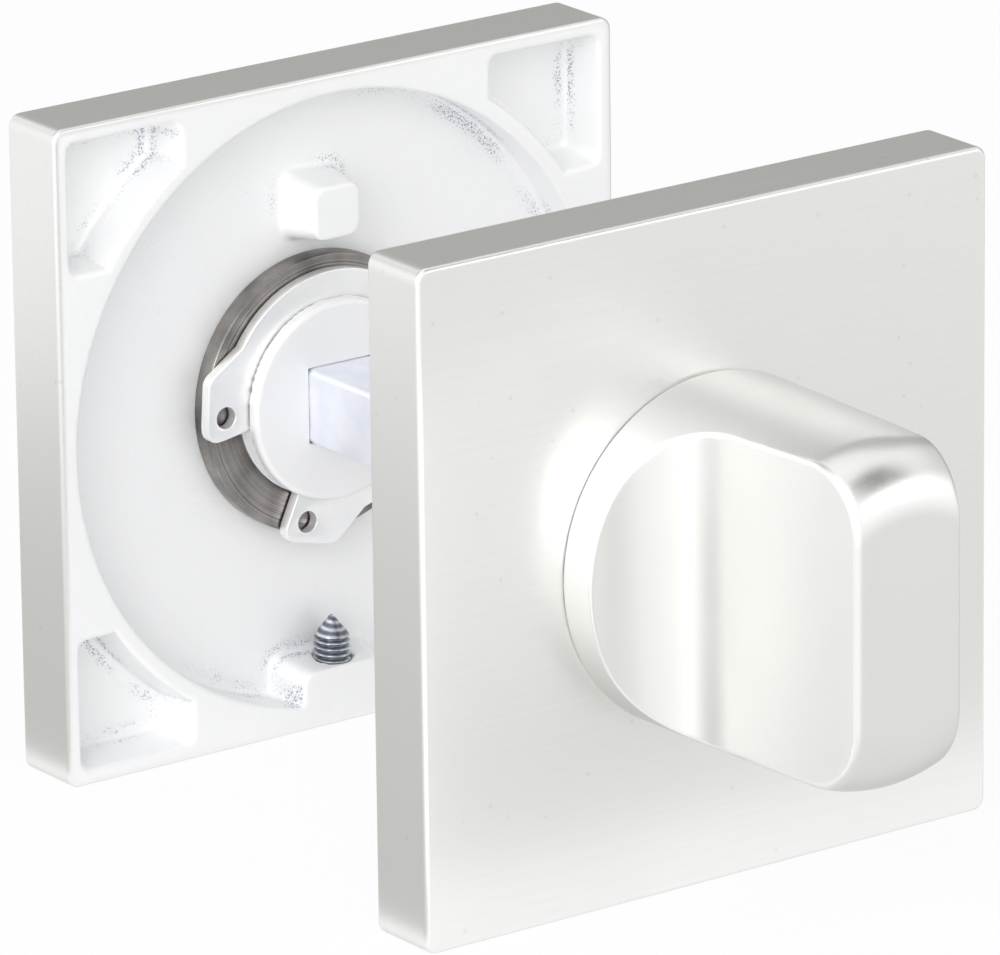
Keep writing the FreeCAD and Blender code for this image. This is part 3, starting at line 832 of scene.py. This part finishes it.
@dataclass
class Rose:
    """A square rose: a die casting with a hollow back.

    Attributes:
        dirt_reach: Inner corners that are nearer than this to another wall gather grit.
        skin_start: Depth under the brushed faces where the surface left as cast begins.
        skin_fade: Depth over which the one becomes the other.
    """

    side: Side
    width: float = 52.0
    thickness: float = 6.2
    corner: float = 1.0
    face_edge: float = 0.36
    back_edge: float = 0.3
    recess_radius: float = 24.4
    recess_depth: float = 4.0
    hole_radius: float = 9.57
    hole_edge: float = 0.1
    pocket_side: float = 24.8
    pocket_start: float = 14.4
    pocket_arc: float = 25.75
    pocket_depth: float = 3.8
    pocket_corner: float = 0.9
    pocket_draft: float = 8.0
    lug_height: float = 15.0
    lug_width: float = 5.2
    lug_top: float = 0.15
    lug_edge: float = 0.3
    lug_draft: float = 7.5
    boss_width: float = 9.2
    boss_inner: float = -20.9
    boss_corner: float = 1.2
    screw_radius: float = 1.5
    screw_depth: float = 2.0
    screw_stop: float = -15.0
    foot_fillet: float = 0.5
    dirt_reach: float = 2.2
    skin_start: float = 0.25
    skin_fade: float = 0.3
    level_grid: Grid = Grid(step=0.32, fine=0.14, margin=0.6)
    deep_grid: Grid = Grid(step=0.24, fine=0.13, margin=0.5)

    def plate(self, across: Array, deep: Array, up: Array) -> Array:
        """Measure the plate without its hollows.

        Args:
            across: Places across.
            deep: Depths from the door face.
            up: Places up.

        Returns:
            Distances to the plate.
        """
        outline = rounded_square(across, up, self.width / 2, self.corner)
        front = rounded_meet(outline, deep - self.thickness, self.face_edge)
        return rounded_meet(front, -deep, self.back_edge)

    def recess(self, across: Array, deep: Array, up: Array) -> Array:
        """Measure the round hollow, less the lug and the screw boss that stand in it.

        Args:
            across: Places across.
            deep: Depths from the door face.
            up: Places up.

        Returns:
            Distances to what is cut away.
        """
        rise = self.recess_depth - deep
        wall = np.hypot(across, up) - self.recess_radius
        hollow = rounded_meet(wall, deep - self.recess_depth, self.foot_fillet)
        lug_half = self.lug_width / 2 - lean(self.lug_draft) * rise
        lug = rounded_square(across, up - self.lug_height, lug_half, self.corner)
        lug = rounded_meet(lug, self.lug_top - deep, self.lug_edge)
        boss_half = self.boss_width / 2 - lean(self.pocket_draft) * rise
        boss_end = self.boss_inner - lean(self.pocket_draft) * rise
        boss = rounded_meet(np.abs(across) - boss_half, up - boss_end, self.boss_corner)
        return rounded_cut(rounded_cut(hollow, lug, self.foot_fillet), boss, self.foot_fillet)

    def pocket(self, across: Array, deep: Array, up: Array) -> Array:
        """Measure the four corner pockets.

        Args:
            across: Places across.
            deep: Depths from the door face.
            up: Places up.

        Returns:
            Distances to what is cut away.
        """
        step = lean(self.pocket_draft) * deep
        wide, tall = np.abs(across), np.abs(up)
        outer_wide, outer_tall = wide - self.pocket_side + step, tall - self.pocket_side + step
        inner_wide, inner_tall = self.pocket_start + step - wide, self.pocket_start + step - tall
        outline = self.pocket_arc + step - np.hypot(across, up)
        corners = ((outer_wide, outer_tall), (outer_wide, inner_tall), (inner_wide, outer_tall))
        for first, second in corners:
            outline = np.maximum(outline, rounded_meet(first, second, self.pocket_corner))
        return rounded_meet(outline, deep - self.pocket_depth, self.foot_fillet)

    def solid(self, points: Array) -> Array:
        """Measure the finished rose.

        Args:
            points: Rows of across, deep and up.

        Returns:
            Distances to its surface, negative inside.
        """
        across, deep, up = points.T
        rose = rounded_cut(self.plate(across, deep, up), self.recess(across, deep, up), self.back_edge)
        rose = rounded_cut(rose, self.pocket(across, deep, up), self.back_edge)
        rose = rounded_cut(rose, np.hypot(across, up) - self.hole_radius, self.hole_edge)
        screw_hole = np.hypot(across, deep - self.screw_depth) - self.screw_radius
        screw_hole = np.maximum(screw_hole, up - self.screw_stop)
        return rounded_cut(rose, screw_hole, self.hole_edge)

    def build(self, material: Material) -> None:
        """Build the rose, and mark its inner corners and the surface that was left as cast.

        Args:
            material: Its finish.
        """
        half = self.width / 2
        level = self.level_grid.lines(-half, half, (-half, half))
        deep = self.deep_grid.lines(0.0, self.thickness, (0.0, self.thickness))
        mesher = CastMesher((level, deep, level))
        name = self.side.value + "_rose"
        mesh, drawn = mesher.mesh("square_" + name, self.solid, self.side)
        ahead = drawn + self.dirt_reach * mesher.outward(self.solid, drawn)
        mark(mesh, "crevice", np.clip(1.0 - self.solid(ahead) / self.dirt_reach, 0.0, 1.0))
        outline = rounded_square(drawn[:, 0], drawn[:, 2], half, self.corner)
        under = -np.maximum(outline, drawn[:, 1] - self.thickness) - self.skin_start
        mark(mesh, "as_cast", np.clip(under / self.skin_fade, 0.0, 1.0))
        add_piece(mesh, name, Body.ROSES, material)


@dataclass
class TurningHead:
    """What the two pieces that turn in the bushes share: a round head on a grooved shank.

    Attributes:
        step: Usual spacing of the mesher's lines.
        shank_overlap: How far the shank reaches into the head.
        mark_gap: The surface left as cast ends this far before the head.
    """

    side: Side
    head_radius: float
    head_end: float
    end_edge: float
    socket_depth: float
    step: float
    head_foot: float = 6.25
    foot_edge: float = 0.26
    head_draft: float = 0.7
    shank_radius: float = 8.0
    shank_end: float = 0.15
    shank_edge: float = 0.45
    shank_overlap: float = 1.0
    groove_radius: float = 7.4
    groove_middle: float = 1.75
    groove_half: float = 0.55
    groove_edge: float = 0.06
    socket_half: float = 3.0
    socket_edge: float = 0.05
    mark_gap: float = 0.1

    def head(self, around: Array, deep: Array) -> Array:
        """Measure the round head.

        Args:
            around: Distances from the axis.
            deep: Depths from the door face.

        Returns:
            Distances to the head.
        """
        draft = math.radians(self.head_draft)
        wall = (around - self.head_radius) * math.cos(draft) + (deep - self.head_foot) * math.sin(draft)
        head = rounded_meet(wall, deep - self.head_end, self.end_edge)
        return rounded_meet(head, self.head_foot - deep, self.foot_edge)

    def with_shank(self, head: Array, points: Array) -> Array:
        """Join the shank to a head, and cut the groove and the square socket.

        Args:
            head: Distances to the head.
            points: Rows of across, deep and up.

        Returns:
            Distances to the whole piece.
        """
        across, deep, up = points.T
        around = np.hypot(across, up)
        shank = rounded_meet(around - self.shank_radius, self.shank_end - deep, self.shank_edge)
        shank = np.maximum(shank, deep - self.head_foot - self.shank_overlap)
        groove_walls = np.abs(deep - self.groove_middle) - self.groove_half
        shank = rounded_cut(shank, np.maximum(self.groove_radius - around, groove_walls), self.groove_edge)
        socket = np.maximum(np.abs(across), np.abs(up)) - self.socket_half
        socket = np.maximum(socket, deep - self.socket_depth)
        return rounded_cut(np.minimum(head, shank), socket, self.socket_edge)

    def mark_shank(self, mesh: Mesh, drawn: Array) -> None:
        """Mark the shank, which was left as cast, by the vertices as drawn from the door face."""
        mark(mesh, "as_cast", (drawn[:, 1] < self.head_foot - self.mark_gap).astype(float))

    def lines(self, edges: Sequence[float]) -> tuple[Array, Array, Array]:
        """Lay the grid lines for the mesher.

        Args:
            edges: Depths on the head that need closer lines.

        Returns:
            The lines across, deep and up.
        """
        level_grid = Grid(self.step, fine=0.16, margin=0.5)
        deep_grid = Grid(self.step, fine=0.13, margin=0.4)
        sockets = (-self.socket_half, self.socket_half)
        level = level_grid.lines(-self.head_radius, self.head_radius, sockets)
        deep_edges = (self.shank_end, self.groove_middle, self.head_foot, *edges)
        return level, deep_grid.lines(0.0, self.head_end, deep_edges), level


@dataclass
class ThumbTurn(TurningHead):
    """The thumb turn: a round head with two finger scoops that leave a blade.

    Attributes:
        rim_edge: Rounding of a scoop's edge near its rim.
        blade_edge: Rounding of its edge near the end of the blade.
        edge_start: Distance from the blade's end where the rounding begins to grow.
        edge_run: Depth over which it grows.
    """

    side: Side = Side.TURN
    head_radius: float = 13.5
    head_end: float = 29.9
    end_edge: float = 5.0
    socket_depth: float = 14.0
    step: float = 0.27
    scoop_floor: float = 9.65
    scoop_rim: float = 0.85
    blade_width: float = 9.5
    blade_draft: float = 3.8
    rim_edge: float = 0.22
    blade_edge: float = 0.5
    edge_start: float = 9.0
    edge_run: float = 8.0

    def scoop(self, out: Array, deep: Array) -> Array:
        """Measure a finger scoop: a level rim, a hollow foot and the leaning side of the blade.

        Args:
            out: Distances from the blade's middle.
            deep: Depths from the door face.

        Returns:
            Distances to what is cut away.
        """
        tilt = math.radians(self.blade_draft)
        foot = self.blade_width / 2 + (self.head_end - self.scoop_floor) * math.tan(tilt)
        middle = self.head_radius - self.scoop_rim
        radius = (middle - foot) * math.cos(tilt) / (1.0 - math.sin(tilt))
        right, along = out - middle, deep - self.scoop_floor - radius
        side = -right * math.cos(tilt) - along * math.sin(tilt) - radius
        straight = np.maximum(-along - radius, side)
        in_hollow = (right < 0) & (along * math.cos(tilt) - right * math.sin(tilt) < 0)
        return np.where(in_hollow, np.hypot(right, along) - radius, straight)

    def solid(self, points: Array) -> Array:
        """Measure the finished thumb turn.

        Args:
            points: Rows of across, deep and up.

        Returns:
            Distances to its surface, negative inside.
        """
        across, deep, up = points.T
        head = self.head(np.hypot(across, up), deep)
        near_end = np.clip((deep - self.head_end + self.edge_start) / self.edge_run, 0.0, 1.0)
        eased = near_end**2 * (3.0 - 2.0 * near_end)
        edge = self.rim_edge + (self.blade_edge - self.rim_edge) * eased
        return self.with_shank(rounded_cut(head, self.scoop(np.abs(across), deep), edge), points)

    def build(self, material: Material) -> None:
        """Build the thumb turn.

        Args:
            material: Its finish.
        """
        mesher = CastMesher(self.lines((self.scoop_floor,)))
        mesh, drawn = mesher.mesh("scooped_thumb_turn", self.solid, self.side)
        self.mark_shank(mesh, drawn)
        add_piece(mesh, "thumb_turn", Body.TURNING_SET, material)


@dataclass
class ReleaseButton(TurningHead):
    """The release button: a low round head with a coin slot."""

    side: Side = Side.RELEASE
    head_radius: float = 12.0
    head_end: float = 9.6
    end_edge: float = 0.6
    socket_depth: float = 7.0
    step: float = 0.26
    slot_length: float = 15.0
    slot_width: float = 2.2
    slot_depth: float = 1.6
    slot_corner: float = 0.5
    slot_foot: float = 0.2
    slot_edge: float = 0.22

    def solid(self, points: Array) -> Array:
        """Measure the finished button.

        Args:
            points: Rows of across, deep and up.

        Returns:
            Distances to its surface, negative inside.
        """
        across, deep, up = points.T
        head = self.head(np.hypot(across, up), deep)
        past_side, past_end = np.abs(across) - self.slot_width / 2, np.abs(up) - self.slot_length / 2
        slot = rounded_meet(past_side, past_end, self.slot_corner)
        slot = rounded_meet(slot, self.head_end - self.slot_depth - deep, self.slot_foot)
        return self.with_shank(rounded_cut(head, slot, self.slot_edge), points)

    def build(self, material: Material) -> None:
        """Build the button.

        Args:
            material: Its finish.
        """
        mesher = CastMesher(self.lines((self.head_end - self.slot_depth, self.head_end)))
        mesh, drawn = mesher.mesh("coin_slot_button", self.solid, self.side)
        self.mark_shank(mesh, drawn)
        add_piece(mesh, "release_button", Body.TURNING_SET, material)


@dataclass
class Bush:
    """A flanged steel bush, turned on a lathe."""

    side: Side
    bore: float = 8.05
    sleeve: float = 9.55
    flange: float = 11.1
    flange_top: float = 2.35
    flange_foot: float = 4.0
    end: float = 6.1
    edge: float = 0.22
    around: int = 128

    def build(self, material: Material) -> None:
        """Turn the bush's section round its axis.

        Args:
            material: Its finish.
        """
        section = [
            (self.bore, self.flange_top),
            (self.flange, self.flange_top),
            (self.flange, self.flange_foot),
            (self.sleeve, self.flange_foot),
            (self.sleeve, self.end),
            (self.bore, self.end),
        ]
        outline = np.array(round_corners(section, self.edge))
        radius, deep = outline[:, :1], outline[:, 1:]
        angles = np.arange(self.around) * FULL_TURN / self.around
        turned = np.broadcast_arrays(radius * np.cos(angles), deep, radius * np.sin(angles))
        faces = ring_faces(len(outline), self.around, Ends.JOINED)
        name = self.side.value + "_bush"
        mesh = make_mesh("flanged_" + name, np.stack(turned, axis=2).reshape(-1, 3), faces, self.side)
        add_piece(mesh, name, Body.ROSES, material)


@dataclass
class Circlip:
    """A stamped circlip with two eyes, in the groove of a shank.

    Attributes:
        direction: Where the gap points, in degrees. The other angles are measured from there.
        offset: How far the outer edge's middle lies away from the gap.
        weld: Points of the stamped sheet that are nearer to each other become one.
    """

    side: Side
    top: float = 1.25
    thickness: float = 1.0
    bore: float = 7.63
    outer: float = 9.98
    offset: float = 0.15
    half_gap: float = 28.0
    eye_angle: float = 38.0
    eye_reach: float = 9.98
    eye_radius: float = 0.85
    ear_reach: float = 11.93
    ear_angle: float = 53.0
    root_angle: float = 69.0
    ear_corner: float = 1.2
    direction: float = -37.0
    edge: float = 0.12
    edge_rows: int = 2
    weld: float = 0.001
    bore_points: int = 97
    outer_points: int = 81
    eye_points: int = 32

    def at(self, angle: float, reach: float) -> Pair:
        """Give a point by its angle from the gap, in degrees, and its distance from the axis."""
        turned = math.radians(self.direction + angle)
        return reach * math.cos(turned), reach * math.sin(turned)

    def ear(self, turn: float) -> list[Pair]:
        """Draw the two rounded corners of one ear.

        Args:
            turn: 1 for the one side of the gap and -1 for the other.

        Returns:
            The corners' points, from the gap outward.
        """
        corners = [
            self.at(turn * self.half_gap, self.bore),
            self.at(turn * self.half_gap, self.ear_reach),
            self.at(turn * self.ear_angle, self.ear_reach),
            self.at(turn * self.root_angle, self.outer),
        ]
        per_corner = CORNER_CHORDS + 1
        return round_corners(corners, self.ear_corner)[per_corner : 3 * per_corner]

    def outline(self) -> list[Pair]:
        """Draw the clip's outline: the bore, and the outer edge with its two ears.

        Returns:
            The outline's points.
        """
        inner_sweep = np.linspace(360.0 - self.half_gap, self.half_gap, self.bore_points)
        outer_sweep = np.linspace(self.root_angle, 360.0 - self.root_angle, self.outer_points)
        away = Vector(self.at(180.0, self.offset))
        inner = [self.at(angle, self.bore) for angle in inner_sweep]
        outer = [tuple(Vector(self.at(angle, self.outer)) + away) for angle in outer_sweep]
        return inner + self.ear(1.0) + outer + self.ear(-1.0)[::-1]

    def eye(self, turn: float) -> list[Pair]:
        """Draw one eye.

        Args:
            turn: 1 for the one side of the gap and -1 for the other.

        Returns:
            The eye's points.
        """
        middle = Vector(self.at(turn * self.eye_angle, self.eye_reach))
        angles = np.linspace(0.0, FULL_TURN, self.eye_points, endpoint=False)
        return [tuple(middle + Vector((math.cos(a), math.sin(a))) * self.eye_radius) for a in angles]

    def build(self, material: Material) -> None:
        """Stamp the outline and its eyes out of sheet, with slightly rolled edges.

        Args:
            material: Its finish.
        """
        name = self.side.value + "_circlip"
        curve = bpy.data.curves.new(name + "_outline", "CURVE")
        curve.dimensions = "2D"
        curve.fill_mode = "BOTH"
        curve.extrude = self.thickness / 2 - self.edge
        curve.bevel_depth = self.edge
        curve.bevel_resolution = self.edge_rows
        curve.offset = -self.edge
        for loop in (self.outline(), self.eye(1.0), self.eye(-1.0)):
            spline = curve.splines.new("POLY")
            spline.points.add(len(loop) - 1)
            for point, place in zip(spline.points, loop):
                point.co = (*place, 0.0, 1.0)
            spline.use_cyclic_u = True
        stamp = bpy.data.objects.new(name + "_outline", curve)
        sheet = bpy.data.meshes.new_from_object(stamp)
        work = bmesh.new()
        work.from_mesh(sheet)
        bmesh.ops.remove_doubles(work, verts=work.verts, dist=self.weld)
        middle = self.top + self.thickness / 2
        points = np.array([(v.co.x, v.co.z + middle, v.co.y) for v in work.verts])
        faces = [[v.index for v in face.verts] for face in work.faces]
        work.free()
        bpy.data.objects.remove(stamp)
        bpy.data.curves.remove(curve)
        bpy.data.meshes.remove(sheet)
        mesh = make_mesh("eyed_" + name, points, faces, self.side)
        add_piece(mesh, name, Body.TURNING_SET, material)


@dataclass
class GrubScrew:
    """A grub screw with a cone point, a thread and a hexagon socket.

    Attributes:
        flank: How fast the thread's height changes along a turn.
        crest: The height that its flanks would reach, and above 1 the crest is flat.
        point_radius: Radius of the point's last ring.
        socket_share: Size of the ring that closes the socket, as a share of the socket.
    """

    side: Side
    depth: float = 2.0
    point: float = -17.85
    driven: float = -25.85
    radius: float = 1.475
    pitch: float = 0.5
    thread_depth: float = 0.29
    flank: float = 4.0
    crest: float = 1.35
    cone: float = 1.7
    tip: float = 0.12
    point_radius: float = 0.001
    key: float = 1.5
    key_depth: float = 2.0
    socket_share: float = 0.01
    end_bevel: float = 0.25
    around: int = 48
    rows_per_pitch: int = 10

    def thread(self, up: Array, angles: Array) -> Array:
        """Give the thread's height, from 0 at its root to 1 at its crest."""
        turn = (up / self.pitch - angles / FULL_TURN) % 1.0
        return np.clip(self.crest - np.abs(turn - 0.5) * self.flank, 0.0, 1.0)

    def limit(self, up: Array) -> Array:
        """Give the largest radius that the cone point and the driven end leave."""
        cone = self.tip + (self.radius - self.tip) * (self.point - up) / self.cone
        return np.minimum(np.minimum(self.radius, cone), self.radius - self.end_bevel + up - self.driven)

    def build(self, material: Material) -> None:
        """Cut the thread row by row, and sink the hexagon socket into the driven end.

        Args:
            material: Its finish.
        """
        angles = np.linspace(0.0, FULL_TURN, self.around, endpoint=False)
        count = int((self.point - self.driven) / self.pitch * self.rows_per_pitch)
        rows = np.linspace(self.point, self.driven, count)[:, None]
        height = self.thread(rows, angles)
        threaded = np.minimum(self.limit(rows), self.radius - self.thread_depth * (1.0 - height))
        sixth = math.pi / 3
        hexagon = self.key / 2 / np.cos((angles + sixth / 2) % sixth - sixth / 2)
        point = np.full(self.around, self.point_radius)
        reach = np.vstack([point, threaded, hexagon, hexagon, hexagon * self.socket_share])
        floor = self.driven + self.key_depth
        up = np.concatenate([[self.point], rows[:, 0], [self.driven, floor, floor]])[:, None]
        parts = np.broadcast_arrays(reach * np.cos(angles), self.depth + reach * np.sin(angles), up)
        crests = np.zeros(reach.shape)
        crests[1 : count + 1] = height
        faces = ring_faces(len(reach), self.around, Ends.CAPPED)
        name = self.side.value + "_grub_screw"
        mesh = make_mesh("threaded_" + name, np.stack(parts, axis=2).reshape(-1, 3), faces, self.side)
        # The crest heights also place the painted highlight of the black steel finish.
        mark(mesh, "crest", crests.ravel())
        add_piece(mesh, name, Body.ROSES, material)


@dataclass
class Spindle:
    """The square spindle: drawn bar with eased edges and bevelled ends."""

    width: float = 6.0
    edge: float = 0.55
    start: float = -46.7
    stop: float = 13.7
    end_bevel: float = 0.4

    def build(self, material: Material) -> None:
        """Loft the bar from end to end.

        Args:
            material: Its finish.
        """
        half = self.width / 2
        outline = round_corners([(-half, -half), (half, -half), (half, half), (-half, half)], self.edge)
        small = (half - self.end_bevel) / half
        places = [(self.start, small), (self.start + self.end_bevel, 1.0)]
        places += [(self.stop - self.end_bevel, 1.0), (self.stop, small)]
        points = [(across * share, deep, up * share) for deep, share in places for across, up in outline]
        faces = ring_faces(len(places), len(outline), Ends.CAPPED)
        mesh = make_mesh("square_spindle", np.array(points), faces, Side.TURN)
        add_piece(mesh, "spindle", Body.TURNING_SET, material)


@dataclass(frozen=True)
class Lamp:
    """A soft square lamp that faces the object.

    Attributes:
        place: Its middle, in millimetres.
        size: Its side.
        glow: How bright its face shows.
    """

    name: str
    place: Triple
    size: float
    glow: float

    def hang(self) -> None:
        """Add the lamp to the scene."""
        data = bpy.data.lights.new(self.name, "AREA")
        data.shape = "SQUARE"
        data.size = self.size * MILLIMETRE
        data.energy = self.glow * math.pi * data.size**2
        lamp = bpy.data.objects.new(self.name, data)
        lamp.location = Vector(self.place) * MILLIMETRE
        lamp.rotation_euler = Vector(self.place).to_track_quat("Z", "Y").to_euler()
        lamp.visible_camera = False
        bpy.context.scene.collection.objects.link(lamp)


@dataclass(frozen=True)
class Card:
    """A grey card that the metal reflects and the camera doesn't see.

    Attributes:
        place: Its middle, in millimetres.
        size: Its width and height.
        tone: How bright it shows, where 1 is white.
        stand: How it is set up.
        tint: Colour of a card whose tone is 1.
    """

    name: str
    place: Triple
    size: Pair
    tone: float
    stand: Stand = Stand.FACING
    tint: Colour = (0.995, 1.0, 0.97)

    def corners(self) -> list[Vector]:
        """Find the card's corners.

        Returns:
            The four corners in the shared frame.
        """
        place = Vector(self.place)
        across, upright = Vector((self.size[0] / 2, 0.0, 0.0)), Vector((0.0, self.size[1] / 2, 0.0))
        if self.stand is Stand.FACING:
            facing = place.to_track_quat("Z", "Y")
            across, upright = facing @ across, facing @ upright
        elif self.stand is Stand.UPRIGHT:
            upright = Vector((0.0, 0.0, self.size[1] / 2))
        lower = [place - across - upright, place + across - upright]
        upper = [place + across + upright, place - across + upright]
        return [corner * MILLIMETRE for corner in lower + upper]

    def set_up(self) -> None:
        """Add the card to the scene."""
        graph = FinishGraph(self.name)
        light = graph.put("ShaderNodeEmission", {"Color": (*(self.tone * part for part in self.tint), 1.0)})
        graph.feed(graph.tree.nodes["Material Output"], {"Surface": light})
        card = add_flat(self.name, self.corners(), graph.material)
        card.visible_camera = False
        card.visible_shadow = False
        card.visible_diffuse = False


def add_flat(name: str, corners: Sequence[Vector], material: Material) -> bpy.types.Object:
    """Add a flat piece of the studio.

    Args:
        name: Its name.
        corners: Its four corners.
        material: Its material.

    Returns:
        The new object.
    """
    mesh = bpy.data.meshes.new(name)
    mesh.from_pydata([tuple(corner) for corner in corners], [], [(0, 1, 2, 3)])
    mesh.materials.append(material)
    piece = bpy.data.objects.new(name, mesh)
    bpy.context.scene.collection.objects.link(piece)
    return piece


@dataclass
class Studio:
    """A pale floor, soft lamps, grey cards and the camera.

    Attributes:
        azimuth: Camera's direction to the right of straight on, in degrees.
        elevation: Camera's height over the horizon, in degrees.
        roll: Camera's roll, in degrees.
        offset: Place of the frame's origin right of, below and ahead of the camera, in millimetres.
        focal: Focal length in pixels of an image that is image_width wide.
        clip: Nearest and farthest distance that the camera sees, in metres.
        fill: Strength of the surroundings where they only give light.
        floor_half: Half of the floor's side, in metres.
        floor_glow: How far the floor shows as white where it is seen.
    """

    azimuth: float = 36.154
    elevation: float = 17.802
    roll: float = 0.695
    offset: Triple = (11.664, 3.649, 779.97)
    focal: float = 10582.5
    image_width: float = 1000.0
    sensor: float = 36.0
    clip: Pair = (0.01, 100.0)
    fill: float = 0.82
    floor_half: float = 3.0
    floor_colour: Colour = (0.9, 0.9, 0.9)
    floor_roughness: float = 0.9
    floor_glow: float = 0.9
    lamps: tuple[Lamp, ...] = (
        Lamp("key_lamp", (-430.0, -400.0, 300.0), 460.0, 2.0),
        Lamp("side_lamp", (-520.0, -150.0, 190.0), 420.0, 1.7),
    )
    cards: tuple[Card, ...] = (
        Card("back_card", (300.0, 410.0, 300.0), (620.0, 640.0), 0.45),
        Card("right_card", (120.0, 75.0, 12.0), (110.0, 76.0), 0.42),
        Card("upper_card", (-230.0, 190.0, 330.0), (300.0, 300.0), 0.55),
        Card("far_right_card", (420.0, -20.0, 130.0), (300.0, 300.0), 0.6),
        Card("front_card", (330.0, -450.0, 262.0), (320.0, 140.0), 2.8),
        Card("ceiling_gap", (150.0, -225.0, 290.0), (165.0, 235.0), 0.02),
        Card("back_sheet", (-72.0, 55.0, -25.5), (88.0, 140.0), 0.56, Stand.LYING),
        Card("front_sheet", (85.0, -150.0, -25.5), (215.0, 262.0), 0.76, Stand.LYING),
        Card("side_sheet", (-90.0, -77.0, -25.5), (130.0, 115.0), 0.9, Stand.LYING),
        Card("side_bounce", (-28.5, -17.5, -9.0), (15.0, 44.0), 1.3, Stand.UPRIGHT),
    )

    def set_camera(self) -> None:
        """Place the camera at the photograph's viewing angle."""
        turn, rise = math.radians(self.azimuth), math.radians(self.elevation)
        ahead = Vector((math.sin(turn) * math.cos(rise), math.cos(turn) * math.cos(rise), -math.sin(rise)))
        level = ahead.cross(Vector((0.0, 0.0, 1.0))).normalized()
        right = Matrix.Rotation(math.radians(self.roll), 3, ahead) @ level
        up = right.cross(ahead)
        place = -(right * self.offset[0] - up * self.offset[1] + ahead * self.offset[2]) * MILLIMETRE
        data = bpy.data.cameras.new("camera")
        data.sensor_width = self.sensor
        data.lens = self.focal * self.sensor / self.image_width
        data.clip_start, data.clip_end = self.clip
        camera = bpy.data.objects.new("camera", data)
        axes = Matrix((right, up, -ahead)).transposed().to_4x4()
        camera.matrix_world = Matrix.Translation(place) @ axes
        bpy.context.scene.collection.objects.link(camera)
        bpy.context.scene.camera = camera

    def set_world(self) -> None:
        """Make the surroundings white where they are seen, and softer where they only give light."""
        world = bpy.data.worlds.new("studio")
        world.use_nodes = True
        graph = NodeGraph(world.node_tree)
        light = graph.tree.nodes["Background"]
        graph.feed(light, {"Color": WHITE, "Strength": self.fill})
        white = graph.put("ShaderNodeBackground", {"Color": WHITE})
        graph.show_either(graph.seen_directly(), light.outputs[0], white, "World Output")
        bpy.context.scene.world = world

    def add_floor(self) -> None:
        """Lay a pale floor that keeps a faint shadow."""
        graph = FinishGraph("pale_floor")
        colour = (*self.floor_colour, 1.0)
        graph.feed(graph.shader, {"Base Color": colour, "Roughness": self.floor_roughness})
        share = graph.math("MULTIPLY", graph.seen_directly(), self.floor_glow)
        white = graph.put("ShaderNodeEmission", {"Color": WHITE})
        graph.show_either(share, graph.shader.outputs[0], white, "Material Output")
        level, half = CAD_BOX[0].z, self.floor_half
        corners = [Vector((x * half, y * half, level)) for x, y in ((-1, -1), (1, -1), (1, 1), (-1, 1))]
        add_flat("floor", corners, graph.material)

    def build(self) -> None:
        """Set up the whole studio."""
        self.set_camera()
        self.set_world()
        self.add_floor()
        for lamp in self.lamps:
            lamp.hang()
        for card in self.cards:
            card.set_up()
        bpy.context.scene.view_settings.view_transform = "Standard"


def main() -> None:
    """Build the lock's pieces in order, then the studio round them."""
    logging.basicConfig(level=logging.INFO, format="%(message)s")
    brushed = BrushedRoseFinish().build()
    satin = SatinFinish().build()
    turned = TurnedSteelFinish().build()
    black = BlackSteelFinish().build()
    spring = PlatedSteelFinish(
        "spring_steel_plated",
        colour=(0.93, 0.93, 0.92),
        tint=(0.88, 0.885, 0.90),
        grain=(1500.0, 1500.0, 1500.0),
    ).build()
    zinc = PlatedSteelFinish(
        "zinc_plated",
        colour=(0.90, 0.915, 0.97),
        tint=(0.82, 0.85, 0.94),
        grain=(2600.0, 60.0, 2600.0),
    ).build()
    for side in Side:
        Rose(side).build(brushed)
        Bush(side).build(turned)
        Circlip(side).build(spring)
        GrubScrew(side).build(black)
    ThumbTurn().build(satin)
    ReleaseButton().build(satin)
    Spindle().build(zinc)
    Studio().build()


if __name__ == "__main__":
    main()
